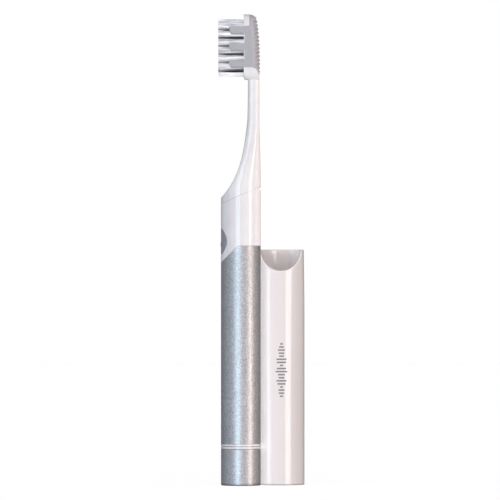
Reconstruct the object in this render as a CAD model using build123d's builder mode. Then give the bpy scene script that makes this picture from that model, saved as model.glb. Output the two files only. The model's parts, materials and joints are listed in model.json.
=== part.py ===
from build123d import *
import math
import os

# Slim sonic travel toothbrush with its travel cap standing beside it.
# Millimetres, +Z up.  The origin is the centre of the handle's flat base.
# Bristles and button face -X, the back of the brush faces +X.

# Driving sizes
handle_radius = 8.0
sleeve_bottom = 16.7
sleeve_top = 96.7
total_height = 189.9
cap_height = 95.1
battery_radius = 5.25
battery_length = 44.5

# End cap and the parting line above it
ring_height = 0.8
parting_gap = 0.2
cap_ring_top = sleeve_bottom - ring_height - parting_gap
cap_ring_bottom = cap_ring_top - ring_height
base_edge_radius = 0.6
cap_floor = 1.6
spigot_radius = 6.35
spigot_top = 24.0
battery_bore = battery_radius + 0.2
o_ring_height = 20.0
o_ring_thickness = 0.7
groove_radius = 5.95

# Contacts and battery
plate_thickness = 0.4
plate_radius = 5.2
contact_disc_radius = 2.6
contact_gap = 0.15
tab_top = 63.0
tab_slot_half_width = 1.05
contact_half_width = 0.8
slot_half_width = 0.95
leg_outer = 6.6
leg_inner = 6.2
spring_wire = 0.5
spring_radius = 3.4
spring_pitch = 1.7
battery_bottom = 9.0
battery_nub_radius = 1.9
battery_nub_height = 0.8
battery_top = battery_bottom + battery_length

# Shells of the handle
sleeve_wall = 0.6
sleeve_bore = handle_radius - sleeve_wall
chassis_radius = sleeve_bore - 0.05
chassis_socket = spigot_radius + 0.35
cell_bore = battery_radius + 0.35
upper_chassis_radius = 6.65
upper_chassis_bore = 6.2
upper_chassis_top = 101.0
bulkhead_bottom = battery_top + 1.0
bulkhead_top = bulkhead_bottom + 2.0
housing_plug_bottom = 84.0
housing_bore = 6.8
notch_width = 5.0
notch_depth = 0.7
notch_height = 1.1
notch_drop = 1.0
strip_outer = 7.2
strip_inner = 6.9
strip_top = 60.0

# Slanted line of the sleeve's front, and the slanted seam under the brush head
slant_foot = 90.0
slant_radius = 3.5
seam_front = 113.4
seam_back = 120.7
seam_gap = 0.15
seam_wall = 1.6
seam_angle = math.atan2(seam_back - seam_front, 2 * handle_radius)

# Circuit board, switch and push button
board_front = -3.6
board_back = -2.6
board_half_width = 4.4
board_bottom = 58.0
board_top = 106.0
rail_depth = 1.0
chip_height = 0.8
chip_width = (-1.6, 1.6)
chip_span = (68.0, 71.2)
capacitor_height = 0.7
capacitor_widths = ((-2.4, -1.2), (1.2, 2.4))
capacitor_span = (74.0, 76.0)
button_height = 98.4
button_radius = 5.8
button_gap = 0.2
button_inner_radius = 7.0
button_dot_height = 97.2
button_dot_radius = 1.1
button_dot_rise = 0.15
plunger_radius = 1.2
plunger_tip = -6.0
switch_side = 3.6
switch_front = -5.1
switch_tip = -5.35
switch_button_radius = 1.0
boot_side = 4.8
boot_wall = 0.5
boot_front = -5.85

# Motor and drive post
motor_x = 1.9
motor_radius = 3.5
motor_bottom = 84.0
motor_top = 100.0
motor_boss_radius = 1.4
motor_boss_height = 0.8
shaft_depth = 3.0
cradle_cut = -0.5
shaft_radius = 0.5
shaft_top = 108.0
weight_radius = 3.0
weight_bottom = 102.0
weight_top = 107.0
lead_radius = 0.35
lead_bottom = 79.0
post_x = 3.4
post_radius = 2.2
post_top = 131.0
post_disc_bottom = 110.0
post_disc_top = 112.0
seal_radius = 3.2
seal_top = 121.6
insert_radius = 2.9
insert_top = 129.0
socket_clearance = 0.35
counterbore_top = seal_top + 0.4
socket_top = post_top + 0.6

# Brush head
plate_front = 1.2
plate_half_width = 5.6
head_bottom = 163.7
stem_half_width = 3.3
full_width_height = 168.9
top_corner_width = 2.65
top_corner_height = 4.9
stem_end = 165.8
stem_front = 2.45
stem_back = 7.45
neck_start = 120.0
fade_start = 121.0
fade_end = 149.0
soft_front = 1.45
soft_top_front = 3.4
soft_top_start = 185.3
soft_start = 168.5
soft_arc = 2.7
soft_sweep_start = 4.3
soft_region_back = 12.0
soft_region_top = 195.0
top_edge_back = 3.9
shoulder_middle = (5.35, 189.45)
shoulder_end = (6.4, 188.5)
crest_middle = (7.42, 180.5)
crest_end = (7.78, 166.8)
heel = (7.48, 164.8)
heel_foot = 7.45
core_back = 5.4
core_inset = 0.9
ridge_count = 15
ridge_pitch = 1.56
ridge_height = 0.45
ridge_width = 0.85
ridge_fall = 2.2
ridge_half_length = 6.0
first_ridge = 189.2
fin_count = 3
fin_pitch = 6.8
first_fin = 185.0
fin_height = 3.4
fin_bevel = 0.7
fin_outer = 5.75
fin_inner = 4.0
fin_tip = -4.65
fin_tip_start = 0.7
fin_tip_slant = 0.75

# Scoop on the front of the neck
scoop_top = 166.5
scoop_pull = 22.2
scoop_foot = 116.1
scoop_foot_pull = 14.7
scoop_angle = math.radians(44.5)
scoop_top_depth = 2.78
scoop_clearance = -30.0

# Bristles
bristle_tip = -9.16
tuft_root = 4.2
tuft_pitch = 3.3
first_centre_tuft = 2.7
first_side_tuft = 4.4
side_tuft_offset = 2.55
last_side_tuft_offset = 1.85
tuft_rows = 7
tuft_taper = 1.0
tuft_corner = 0.8
side_tuft_size = (2.2, 2.35)
last_side_tuft_size = (2.2, 1.7)
top_tuft_size = (2.9, 1.8)
wide_tuft_size = (2.7, 1.75)
tall_tuft_size = (1.95, 2.5)

# Travel cap, standing on its closed end behind and beside the handle
cap_x = 16.15
cap_y = 9.8
cap_mouth_radius = 9.3
cap_body_radius = 9.58
cap_bulge = 1.6
cap_tuck = 0.7
cap_wall = 0.95
cap_base = 1.5
scoop_radius = 8.46
cap_taper_start = 70.0
cap_bulge_drop = 6.0
cap_bulge_length = 60.0
cap_tuck_height = 12.0

os.makedirs("parts", exist_ok=True)


def save(piece, name):
    # Label a finished piece and write it to its own file.
    piece.part.label = name
    export_step(piece.part, "parts/" + name + ".step")
    print(name, round(piece.part.volume, 2))


def side_plane(y):
    # For X-Z side profiles; extruding moves towards -Y.
    return Plane(origin=(0, y, 0), x_dir=(1, 0, 0), z_dir=(0, -1, 0))


def front_plane(x):
    # For Y-Z front outlines; extruding moves towards +X.
    return Plane(origin=(x, 0, 0), x_dir=(0, 1, 0), z_dir=(1, 0, 0))


def tube(bottom, top, outer, inner):
    # An upright round tube, or a disc where inner is zero.
    with BuildPart() as ring:
        with BuildSketch(Plane.XY.offset(bottom)):
            Circle(outer)
            if inner > 0:
                Circle(inner, mode=Mode.SUBTRACT)
        extrude(amount=top - bottom)
    return ring.part


def box(x_range, y_range, z_range):
    # A block between two corners.
    size = (x_range[1] - x_range[0], y_range[1] - y_range[0], z_range[1] - z_range[0])
    corner = (x_range[0], y_range[0], z_range[0])
    lowest = (Align.MIN, Align.MIN, Align.MIN)
    return Pos(*corner) * Box(*size, align=lowest, mode=Mode.PRIVATE)


def superellipse(centre_x, half_depth, half_width, squareness, points=32):
    # Points of a rounded outline: a circle at squareness 2, squarer above it.
    outline = []
    for step in range(points):
        turn = 2 * math.pi * step / points
        along = math.copysign(abs(math.cos(turn)) ** (2 / squareness), math.cos(turn))
        across = math.copysign(abs(math.sin(turn)) ** (2 / squareness), math.sin(turn))
        outline.append((centre_x + half_depth * along, half_width * across))
    return outline


seam_middle = (seam_front + seam_back) / 2
seam_normal = (-math.sin(seam_angle), 0, math.cos(seam_angle))
seam_plane = Plane(origin=(0, 0, seam_middle), x_dir=(0, 1, 0), z_dir=seam_normal)


def column_below_seam(x, radius, bottom, drop):
    # An upright round column cut off by the seam plane, lowered by drop.
    with BuildPart() as column:
        with BuildSketch(Plane.XY.offset(bottom)):
            with Locations((x, 0)):
                Circle(radius)
        extrude(amount=seam_back + handle_radius - bottom)
        split(bisect_by=seam_plane.offset(-drop), keep=Keep.BOTTOM)
    return column.part


# Space below the sleeve's upper edge: slanted at the front, level at the back
reach = handle_radius + 4
slant_start = slant_foot - (reach - handle_radius)
slant_end = sleeve_top - slant_foot - handle_radius
with BuildPart() as below_sleeve_edge:
    with BuildSketch(side_plane(reach)):
        with BuildLine():
            edge = FilletPolyline(
                (-reach, slant_start),
                (slant_end, sleeve_top),
                (reach, sleeve_top),
                radius=slant_radius,
            )
            Polyline(edge @ 1, (reach, 0), (-reach, 0), edge @ 0)
        make_face()
    extrude(amount=2 * reach)

# Metal sleeve: a thin tube with the slanted front edge
with BuildPart() as handle_sleeve:
    add(tube(sleeve_bottom, sleeve_top + 1, handle_radius, sleeve_bore))
    add(below_sleeve_edge.part, mode=Mode.INTERSECT)
save(handle_sleeve, "handle_sleeve")

# Light ring that closes the sleeve's lower end
with BuildPart() as sleeve_trim_ring:
    add(tube(cap_ring_top + parting_gap, sleeve_bottom, handle_radius, chassis_socket))
    outer_edges = sleeve_trim_ring.edges().filter_by(GeomType.CIRCLE).group_by(SortBy.RADIUS)[-1]
    chamfer(outer_edges.group_by(Axis.Z)[0], 0.12)
save(sleeve_trim_ring, "sleeve_trim_ring")

# Gloss neck housing: closed above by the slanted seam, plugged into the sleeve
with BuildPart() as neck_housing:
    add(column_below_seam(0, handle_radius, slant_foot - 2, 0))
    add(below_sleeve_edge.part, mode=Mode.SUBTRACT)
    add(tube(housing_plug_bottom, sleeve_top + 1, chassis_radius, 0))
    add(column_below_seam(0, housing_bore, housing_plug_bottom, seam_wall), mode=Mode.SUBTRACT)
    with BuildSketch(front_plane(-handle_radius - 1)):
        with Locations((0, button_height)):
            Circle(button_radius)
    extrude(amount=handle_radius - 2, mode=Mode.SUBTRACT)
    with BuildSketch(Plane.XY.offset(post_disc_top)):
        with Locations((post_x, 0)):
            Circle(post_radius)
    extrude(amount=seam_back - post_disc_top + 2, mode=Mode.SUBTRACT)
    # Finger notch at the back of the seam
    with BuildSketch(side_plane(notch_width / 2)):
        with Locations((handle_radius, seam_back - notch_drop)):
            Rectangle(notch_depth, notch_height)
    extrude(amount=notch_width, mode=Mode.SUBTRACT)
save(neck_housing, "neck_housing")

# Inner chassis: battery barrel below, open cradle for board and motor above
with BuildPart() as inner_chassis:
    add(tube(sleeve_bottom, bulkhead_top, chassis_radius, 0))
    add(tube(sleeve_bottom, spigot_top + 1, chassis_socket, 0), mode=Mode.SUBTRACT)
    add(tube(spigot_top, bulkhead_bottom, cell_bore, 0), mode=Mode.SUBTRACT)
    with BuildSketch(Plane.XY.offset(bulkhead_top)):
        Circle(upper_chassis_radius)
        with BuildSketch(mode=Mode.SUBTRACT):
            with Locations((board_front + 0.4 - handle_radius, 0)):
                Rectangle(2 * handle_radius, 2 * handle_radius)
        with BuildSketch(mode=Mode.SUBTRACT):
            Circle(upper_chassis_bore)
            with Locations((board_back + rail_depth - handle_radius, 0)):
                Rectangle(2 * handle_radius, 2 * handle_radius, mode=Mode.SUBTRACT)
        with Locations(((board_front + board_back) / 2, 0)):
            Rectangle(board_back - board_front, 2 * board_half_width, mode=Mode.SUBTRACT)
        with Locations((board_back + rail_depth / 2, 0)):
            Rectangle(rail_depth, 2 * board_half_width - 1.6, mode=Mode.SUBTRACT)
    extrude(amount=upper_chassis_top - bulkhead_top)
    slot_width = (-slot_half_width, slot_half_width)
    strip_slot = box((-reach, -strip_inner + 0.1), slot_width, (sleeve_bottom, strip_top + 1))
    window = box((-reach, -leg_inner + 0.2), slot_width, (sleeve_bottom, spigot_top + 1))
    tab_slot = box(
        (board_back - 0.05, board_back + plate_thickness + 0.05),
        (-tab_slot_half_width, tab_slot_half_width),
        (battery_top + 0.5, board_bottom),
    )
    add(strip_slot, mode=Mode.SUBTRACT)
    add(window, mode=Mode.SUBTRACT)
    add(tab_slot, mode=Mode.SUBTRACT)
save(inner_chassis, "inner_chassis")

# Positive contact: a disc over the battery's nub with a tab up to the board
with BuildPart() as positive_contact:
    disc_bottom = battery_top + contact_gap
    width = (-contact_half_width, contact_half_width)
    add(tube(disc_bottom, disc_bottom + plate_thickness, contact_disc_radius, 0))
    add(box((board_back, 0), width, (disc_bottom, disc_bottom + plate_thickness)))
    add(box((board_back, board_back + plate_thickness), width, (disc_bottom, tab_top)))
save(positive_contact, "positive_contact")

# Negative strip: runs up the outside of the barrel and in to the board's front
with BuildPart() as negative_strip:
    width = (-contact_half_width, contact_half_width)
    add(box((-strip_outer, -strip_inner), width, (sleeve_bottom + 1, strip_top)))
    add(box((-strip_outer, board_front), width, (strip_top - 0.3, strip_top)))
save(negative_strip, "negative_strip")

# Circuit board with its parts and the push switch
with BuildPart() as circuit_board:
    width = (-board_half_width + 0.1, board_half_width - 0.1)
    add(box((board_front, board_back), width, (board_bottom, board_top)))
save(circuit_board, "circuit_board")

with BuildPart() as board_components:
    add(box((board_back, board_back + chip_height), chip_width, chip_span))
    for width in capacitor_widths:
        add(box((board_back, board_back + capacitor_height), width, capacitor_span))
save(board_components, "board_components")

with BuildPart() as tact_switch:
    half = switch_side / 2
    add(box((switch_front, board_front), (-half, half), (button_height - half, button_height + half)))
    with BuildSketch(front_plane(switch_tip)):
        with Locations((0, button_height)):
            Circle(switch_button_radius)
    extrude(amount=switch_front - switch_tip)
save(tact_switch, "tact_switch")

# Rubber boot over the switch, with a hole for the button's plunger
with BuildPart() as switch_boot:
    half = boot_side / 2
    inside = half - boot_wall
    outer_span = (button_height - half, button_height + half)
    inner_span = (button_height - inside, button_height + inside)
    add(box((boot_front, board_front), (-half, half), outer_span))
    add(box((boot_front + 0.45, board_front), (-inside, inside), inner_span), mode=Mode.SUBTRACT)
    with BuildSketch(front_plane(boot_front - 1)):
        with Locations((0, button_height)):
            Circle(plunger_radius + 0.3)
    extrude(amount=2, mode=Mode.SUBTRACT)
save(switch_boot, "switch_boot")

# Button: a round key that follows the curve of the handle, with a plunger behind
with BuildPart() as button_key:
    add(tube(slant_foot, slant_foot + 20, handle_radius, button_inner_radius))
    with BuildSketch(front_plane(-handle_radius - 1)):
        with Locations((0, button_height)):
            Circle(button_radius - button_gap)
    extrude(amount=handle_radius - 2, mode=Mode.INTERSECT)
    with BuildSketch(front_plane(-button_inner_radius - 0.5)):
        with Locations((0, button_height)):
            Circle(plunger_radius)
    extrude(amount=button_inner_radius + 0.5 + plunger_tip)
    with BuildSketch(front_plane(-handle_radius - button_dot_rise)):
        with Locations((0, button_dot_height)):
            Circle(button_dot_radius)
    extrude(amount=0.6)
save(button_key, "button_key")

# Motor: can, rubber cradle, two leads, shaft and eccentric weight
with BuildPart() as motor_can:
    with BuildSketch(Plane.XY.offset(motor_bottom)):
        with Locations((motor_x, 0)):
            Circle(motor_radius)
    extrude(amount=motor_top - motor_bottom)
    fillet(motor_can.edges().filter_by(GeomType.CIRCLE), 0.4)
    with BuildSketch(Plane.XY.offset(motor_top)):
        with Locations((motor_x, 0)):
            Circle(motor_boss_radius)
    extrude(amount=motor_boss_height)
    with BuildSketch(Plane.XY.offset(motor_top - shaft_depth)):
        with Locations((motor_x, 0)):
            Circle(shaft_radius + 0.02)
    extrude(amount=shaft_depth + 1, mode=Mode.SUBTRACT)
save(motor_can, "motor_can")

with BuildPart() as motor_cradle:
    with BuildSketch(Plane.XY.offset(motor_bottom + 1)):
        Circle(upper_chassis_bore - 0.02)
        with Locations((cradle_cut - handle_radius, 0)):
            Rectangle(2 * handle_radius, 2 * handle_radius, mode=Mode.SUBTRACT)
        with Locations((motor_x, 0)):
            Circle(motor_radius, mode=Mode.SUBTRACT)
    extrude(amount=motor_top - motor_bottom - 2)
save(motor_cradle, "motor_cradle")

with BuildPart() as motor_leads:
    for side in (-1.0, 1.0):
        with BuildLine():
            FilletPolyline(
                (motor_x - 0.6, side, motor_bottom),
                (motor_x - 0.6, side, lead_bottom),
                (board_back, side, lead_bottom),
                radius=1.6,
            )
        with BuildSketch(Plane(origin=(motor_x - 0.6, side, motor_bottom), z_dir=(0, 0, -1))):
            Circle(lead_radius)
        sweep()
save(motor_leads, "motor_leads")

with BuildPart() as motor_shaft:
    with BuildSketch(Plane.XY.offset(motor_top - shaft_depth)):
        with Locations((motor_x, 0)):
            Circle(shaft_radius)
    extrude(amount=shaft_top - motor_top + shaft_depth)
save(motor_shaft, "motor_shaft")

with BuildPart() as eccentric_weight:
    with BuildSketch(Plane.XY.offset(weight_bottom)):
        with Locations((motor_x, 0)):
            Circle(weight_radius)
        with Locations((motor_x, -weight_radius)):
            Rectangle(2 * weight_radius, 2 * weight_radius, mode=Mode.SUBTRACT)
        with Locations((motor_x, 0)):
            Circle(shaft_radius + 0.7)
            Circle(shaft_radius, mode=Mode.SUBTRACT)
    extrude(amount=weight_top - weight_bottom)
save(eccentric_weight, "eccentric_weight")

# Drive post: a disc clamped in the housing and a pin that enters the brush head
with BuildPart() as drive_post:
    add(tube(post_disc_bottom, post_disc_top, housing_bore - 0.03, 0))
    with BuildSketch(Plane.XY.offset(post_disc_bottom)):
        with Locations((post_x, 0)):
            Circle(post_radius)
    extrude(amount=post_top - post_disc_bottom)
    chamfer(drive_post.faces().sort_by(Axis.Z)[-1].edges(), 0.7)
save(drive_post, "drive_post")

with BuildPart() as post_seal:
    with BuildSketch(Plane.XY.offset(seam_front)):
        with Locations((post_x, 0)):
            Circle(seal_radius)
            Circle(post_radius, mode=Mode.SUBTRACT)
    extrude(amount=seal_top - seam_front)
    split(bisect_by=seam_plane, keep=Keep.TOP)
save(post_seal, "post_seal")

# End cap: a metal-faced cup with a spigot that plugs into the chassis
with BuildPart() as end_cap:
    add(tube(0, cap_ring_bottom, handle_radius, 0))
    fillet(end_cap.edges().filter_by(GeomType.CIRCLE).sort_by(Axis.Z)[0], base_edge_radius)
    add(tube(cap_ring_bottom, spigot_top, spigot_radius, 0))
    add(tube(cap_floor, spigot_top, battery_bore, 0), mode=Mode.SUBTRACT)
    half_ring = o_ring_thickness / 2 + 0.05
    add(
        tube(o_ring_height - half_ring, o_ring_height + half_ring, handle_radius, groove_radius),
        mode=Mode.SUBTRACT,
    )
    leg_slot = box(
        (-leg_outer - 0.1, -battery_bore + 0.3),
        (-slot_half_width, slot_half_width),
        (cap_floor, spigot_top + 1),
    )
    add(leg_slot, mode=Mode.SUBTRACT)
save(end_cap, "end_cap")

with BuildPart() as cap_trim_ring:
    add(tube(cap_ring_bottom, cap_ring_top, handle_radius, spigot_radius))
    outer_edges = cap_trim_ring.edges().filter_by(GeomType.CIRCLE).group_by(SortBy.RADIUS)[-1]
    chamfer(outer_edges.group_by(Axis.Z)[-1], 0.12)
    add(leg_slot, mode=Mode.SUBTRACT)
save(cap_trim_ring, "cap_trim_ring")

with BuildPart() as o_ring:
    with BuildSketch(Plane.XZ):
        with Locations((groove_radius + o_ring_thickness / 2, o_ring_height)):
            Circle(o_ring_thickness / 2)
    revolve(axis=Axis.Z)
    add(leg_slot, mode=Mode.SUBTRACT)
save(o_ring, "o_ring")

with BuildPart() as spring_contact:
    width = (-contact_half_width, contact_half_width)
    add(tube(cap_floor, cap_floor + plate_thickness, plate_radius, 0))
    add(box((-leg_outer, -plate_radius + 1), width, (cap_floor, cap_floor + plate_thickness)))
    add(box((-leg_outer, -leg_inner), width, (cap_floor, spigot_top - 0.5)))
save(spring_contact, "spring_contact")

with BuildPart() as battery_spring:
    spring_foot = cap_floor + plate_thickness + spring_wire / 2
    with BuildLine():
        coil = Helix(
            pitch=spring_pitch,
            height=battery_bottom - spring_wire / 2 - spring_foot,
            radius=spring_radius,
            center=(0, 0, spring_foot),
        )
    with BuildSketch(Plane(origin=coil @ 0, z_dir=coil % 0)):
        Circle(spring_wire / 2)
    sweep(is_frenet=True)
save(battery_spring, "battery_spring")

with BuildPart() as aaa_battery:
    add(tube(battery_bottom, battery_top - battery_nub_height, battery_radius, 0))
    fillet(aaa_battery.edges().filter_by(GeomType.CIRCLE), 0.5)
    add(tube(battery_top - battery_nub_height, battery_top, battery_nub_radius, 0))
save(aaa_battery, "aaa_battery")


# Brush head
def head_outline(inset):
    # Front outline of the head, drawn in all round by inset.
    half = plate_half_width - inset
    bottom = head_bottom + inset
    top = total_height - inset
    corner_width = top_corner_width - inset / 2
    with BuildSketch(Plane.XY) as outline:
        with BuildLine():
            foot_half = stem_half_width - 0.3 - inset
            Line((0, bottom), (foot_half, bottom))
            Bezier(
                (foot_half, bottom),
                (foot_half + 1.4, bottom + 0.4),
                (half, bottom + 2.3),
                (half, full_width_height),
            )
            Line((half, full_width_height), (half, top - top_corner_height))
            EllipticalCenterArc(
                (half - corner_width, top - top_corner_height),
                corner_width,
                top_corner_height,
                start_angle=0,
                arc_size=90,
            )
            Line((half - corner_width, top), (0, top))
            mirror(about=Plane.YZ)
        make_face()
    return outline.sketch


def head_block(lowered):
    # The whole head as one block; lowered takes the crest of the back inwards.
    with BuildPart() as block:
        with BuildSketch(front_plane(plate_front)):
            add(head_outline(0))
        extrude(amount=9)
        with BuildSketch(side_plane(reach)):
            with BuildLine():
                front = Line((plate_front, head_bottom), (plate_front, total_height))
                top = Line(front @ 1, (top_edge_back, total_height))
                inwards = Vector(-lowered, 0)
                shoulder = ThreePointArc(top @ 1, shoulder_middle, Vector(shoulder_end) + inwards)
                crest = ThreePointArc(
                    shoulder @ 1,
                    Vector(crest_middle) + inwards,
                    Vector(crest_end) + inwards,
                )
                Polyline(crest @ 1, heel, (heel_foot, head_bottom), front @ 0)
            make_face()
        extrude(amount=2 * reach, mode=Mode.INTERSECT)
    return block.part


# Region covered by the soft back: all behind the plate, ending in a round sweep
with BuildPart() as soft_region:
    with BuildSketch(side_plane(reach)):
        with BuildLine():
            start = Line((soft_front, soft_start), (soft_sweep_start, soft_start))
            sweep_down = RadiusArc(start @ 1, (start @ 1) + Vector(soft_arc, -soft_arc), soft_arc)
            Polyline(
                sweep_down @ 1,
                (soft_region_back, soft_start - soft_arc),
                (soft_region_back, soft_region_top),
                (soft_top_front, soft_region_top),
                (soft_top_front, soft_top_start),
                (soft_front, soft_top_start),
                start @ 0,
            )
        make_face()
    extrude(amount=2 * reach)

# Hard core that carries the bristles, wrapped by the soft back
with BuildPart() as head_core:
    with BuildSketch(front_plane(plate_front)):
        add(head_outline(core_inset))
    extrude(amount=core_back - plate_front)

# Side fins: soft bars that reach forward beside the bristles, slanted at the tip
with BuildPart() as side_fins:
    for row in range(fin_count):
        top = first_fin - row * fin_pitch
        for side in (-1, 1):
            with BuildSketch(front_plane(fin_tip)):
                with BuildLine():
                    Polyline(
                        (side * fin_inner, top),
                        (side * fin_outer, top),
                        (side * fin_outer, top - fin_height + fin_bevel),
                        (side * (fin_outer - fin_bevel), top - fin_height),
                        (side * fin_inner, top - fin_height),
                        close=True,
                    )
                make_face()
            extrude(amount=soft_front + 0.5 - fin_tip)
    for row in range(fin_count):
        top = first_fin - row * fin_pitch
        with BuildSketch(side_plane(reach)):
            with BuildLine():
                Polyline(
                    (fin_tip, top - fin_tip_start),
                    (fin_tip + fin_tip_slant, top - fin_height),
                    (fin_tip - 1, top - fin_height),
                    (fin_tip - 1, top),
                    (fin_tip + 0.5, top),
                    close=True,
                )
            make_face()
        extrude(amount=2 * reach, mode=Mode.SUBTRACT)

# Chevron ridges across the back, highest in the middle
with BuildPart() as back_ridges:
    for row in range(ridge_count):
        top = first_ridge - row * ridge_pitch
        with BuildSketch(front_plane(core_back - 1)):
            with BuildLine():
                Polyline(
                    (-ridge_half_length, top - ridge_fall),
                    (0, top),
                    (ridge_half_length, top - ridge_fall),
                    (ridge_half_length, top - ridge_fall - ridge_width),
                    (0, top - ridge_width),
                    (-ridge_half_length, top - ridge_fall - ridge_width),
                    close=True,
                )
            make_face()
        extrude(amount=5)
    add(head_block(0), mode=Mode.INTERSECT)
    add(soft_region.part, mode=Mode.INTERSECT)

with BuildPart() as head_overmould:
    add(head_block(ridge_height))
    add(soft_region.part, mode=Mode.INTERSECT)
    add(back_ridges.part)
    add(side_fins.part)
    add(head_core.part, mode=Mode.SUBTRACT)
save(head_overmould, "head_overmould")

# Bristle tufts, in centre rows and side pairs, slightly wider at the tips
with BuildPart() as outer_tufts:
    for row in range(tuft_rows):
        last = row == tuft_rows - 1
        shift = last_side_tuft_offset if last else side_tuft_offset
        height = total_height - first_side_tuft - row * tuft_pitch
        with BuildSketch(front_plane(bristle_tip)):
            with Locations((-shift, height), (shift, height)):
                RectangleRounded(*(last_side_tuft_size if last else side_tuft_size), tuft_corner)
        extrude(amount=tuft_root - bristle_tip, taper=tuft_taper)
    with BuildSketch(front_plane(bristle_tip)):
        with Locations((0, total_height - first_centre_tuft)):
            RectangleRounded(*top_tuft_size, tuft_corner)
    extrude(amount=tuft_root - bristle_tip, taper=tuft_taper)
save(outer_tufts, "outer_tufts")

with BuildPart() as centre_tufts:
    for row in range(1, tuft_rows):
        height = total_height - first_centre_tuft - row * tuft_pitch
        wide = row % 2 == 0
        with BuildSketch(front_plane(bristle_tip)):
            with Locations((0, height)):
                RectangleRounded(*(wide_tuft_size if wide else tall_tuft_size), tuft_corner)
        extrude(amount=tuft_root - bristle_tip, taper=tuft_taper)
save(centre_tufts, "centre_tufts")

# Neck: round at the seam, fading to the slim stem between two heights
def neck_section(height):
    # Centre x, half depth, half width and squareness of the neck at a height.
    progress = min(1.0, max(0.0, (height - fade_start) / (fade_end - fade_start)))
    fade = 0.5 + 0.5 * math.cos(math.pi * progress)
    back = stem_back + (handle_radius - stem_back) * fade
    front = -handle_radius + (handle_radius + stem_front) * (1 - fade) ** 0.6
    half_width = stem_half_width + (handle_radius - stem_half_width) * fade
    return (front + back) / 2, (back - front) / 2, half_width, 2 + 0.8 * (1 - fade)


round_heights = [seam_front - 1, seam_front + 1.5, neck_start - 3, neck_start, neck_start + 2]
fading_heights = [neck_start + 4 + 3 * step for step in range(10)]
with BuildPart() as head_neck:
    for height in round_heights + fading_heights + [158.0, stem_end]:
        centre_x, half_depth, half_width, squareness = neck_section(height)
        with BuildSketch(Plane.XY.offset(height)):
            with BuildLine():
                Spline(*superellipse(centre_x, half_depth, half_width, squareness), periodic=True)
            make_face()
    loft()
    # Scoop that thins the front of the neck in one long curve
    foot = Vector(-handle_radius, scoop_foot)
    foot_pull = Vector(math.sin(scoop_angle), math.cos(scoop_angle)) * scoop_foot_pull
    with BuildSketch(side_plane(reach)):
        with BuildLine():
            curve = Bezier(
                (scoop_top_depth, scoop_top),
                (scoop_top_depth, scoop_top - scoop_pull),
                foot + foot_pull,
                foot,
            )
            Polyline(
                curve @ 1,
                (curve @ 1) - foot_pull,
                (scoop_clearance, scoop_foot),
                (scoop_clearance, scoop_top + 5),
                (scoop_top_depth, scoop_top + 5),
                curve @ 0,
            )
        make_face()
    extrude(amount=2 * reach, mode=Mode.SUBTRACT)
    split(bisect_by=seam_plane.offset(seam_gap), keep=Keep.TOP)
    # Head end: everything of the block that the soft back leaves free
    add(head_block(0))
    add(soft_region.part, mode=Mode.SUBTRACT)
    add(head_core.part)
    add(side_fins.part, mode=Mode.SUBTRACT)
    add(outer_tufts.part, mode=Mode.SUBTRACT)
    add(centre_tufts.part, mode=Mode.SUBTRACT)
    # Socket for the post, its metal insert and the seal
    socket_steps = (
        (seal_radius + socket_clearance, counterbore_top),
        (insert_radius, insert_top),
        (post_radius + socket_clearance, socket_top),
    )
    for radius, top in socket_steps:
        with BuildSketch(Plane.XY.offset(seam_front - 1)):
            with Locations((post_x, 0)):
                Circle(radius)
        extrude(amount=top - seam_front + 1, mode=Mode.SUBTRACT)
save(head_neck, "head_neck")

# Metal insert in the socket, a running fit on the post
with BuildPart() as socket_insert:
    with BuildSketch(Plane.XY.offset(counterbore_top)):
        with Locations((post_x, 0)):
            Circle(insert_radius)
            Circle(post_radius + 0.05, mode=Mode.SUBTRACT)
    extrude(amount=insert_top - counterbore_top)
save(socket_insert, "socket_insert")


# Travel cap
def cap_section(height, thickness):
    # Outline of the cap at a height: round, and bulged forward over the bristles.
    narrowing = max(0.0, (height - cap_taper_start) / (cap_height - cap_taper_start)) ** 1.5
    radius = cap_body_radius - (cap_body_radius - cap_mouth_radius) * narrowing - thickness
    rise = min(1.0, max(0.0, (cap_height - cap_bulge_drop - height) / cap_bulge_length))
    tuck = cap_tuck * max(0.0, 1 - height / cap_tuck_height) ** 2
    forward = cap_bulge * rise * rise * (3 - 2 * rise) - tuck
    outline = []
    for step in range(24):
        turn = 2 * math.pi * step / 24
        facing = ((1 - math.sin(turn)) / 2) ** 1.5
        x = cap_x + radius * math.cos(turn)
        y = cap_y + radius * math.sin(turn) - forward * facing
        outline.append((x, y))
    return outline


def cap_form(thickness, bottom, top):
    # The cap as a solid form, drawn in by a wall thickness.
    heights = (bottom, 6.0, 12.0, 22.0, 34.0, 48.0, 62.0, 76.0, top)
    with BuildPart() as form:
        for height in heights:
            with BuildSketch(Plane.XY.offset(height)):
                with BuildLine():
                    Spline(*cap_section(height, thickness), periodic=True)
                make_face()
        loft()
    return form.part


with BuildPart() as travel_cap:
    add(cap_form(0, 0, cap_height))
    add(cap_form(cap_wall, cap_base, cap_height + 1), mode=Mode.SUBTRACT)
    with BuildSketch(side_plane(cap_y)):
        with Locations((cap_x, cap_height)):
            Circle(scoop_radius)
    extrude(amount=20, mode=Mode.SUBTRACT)
save(travel_cap, "travel_cap")
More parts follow.
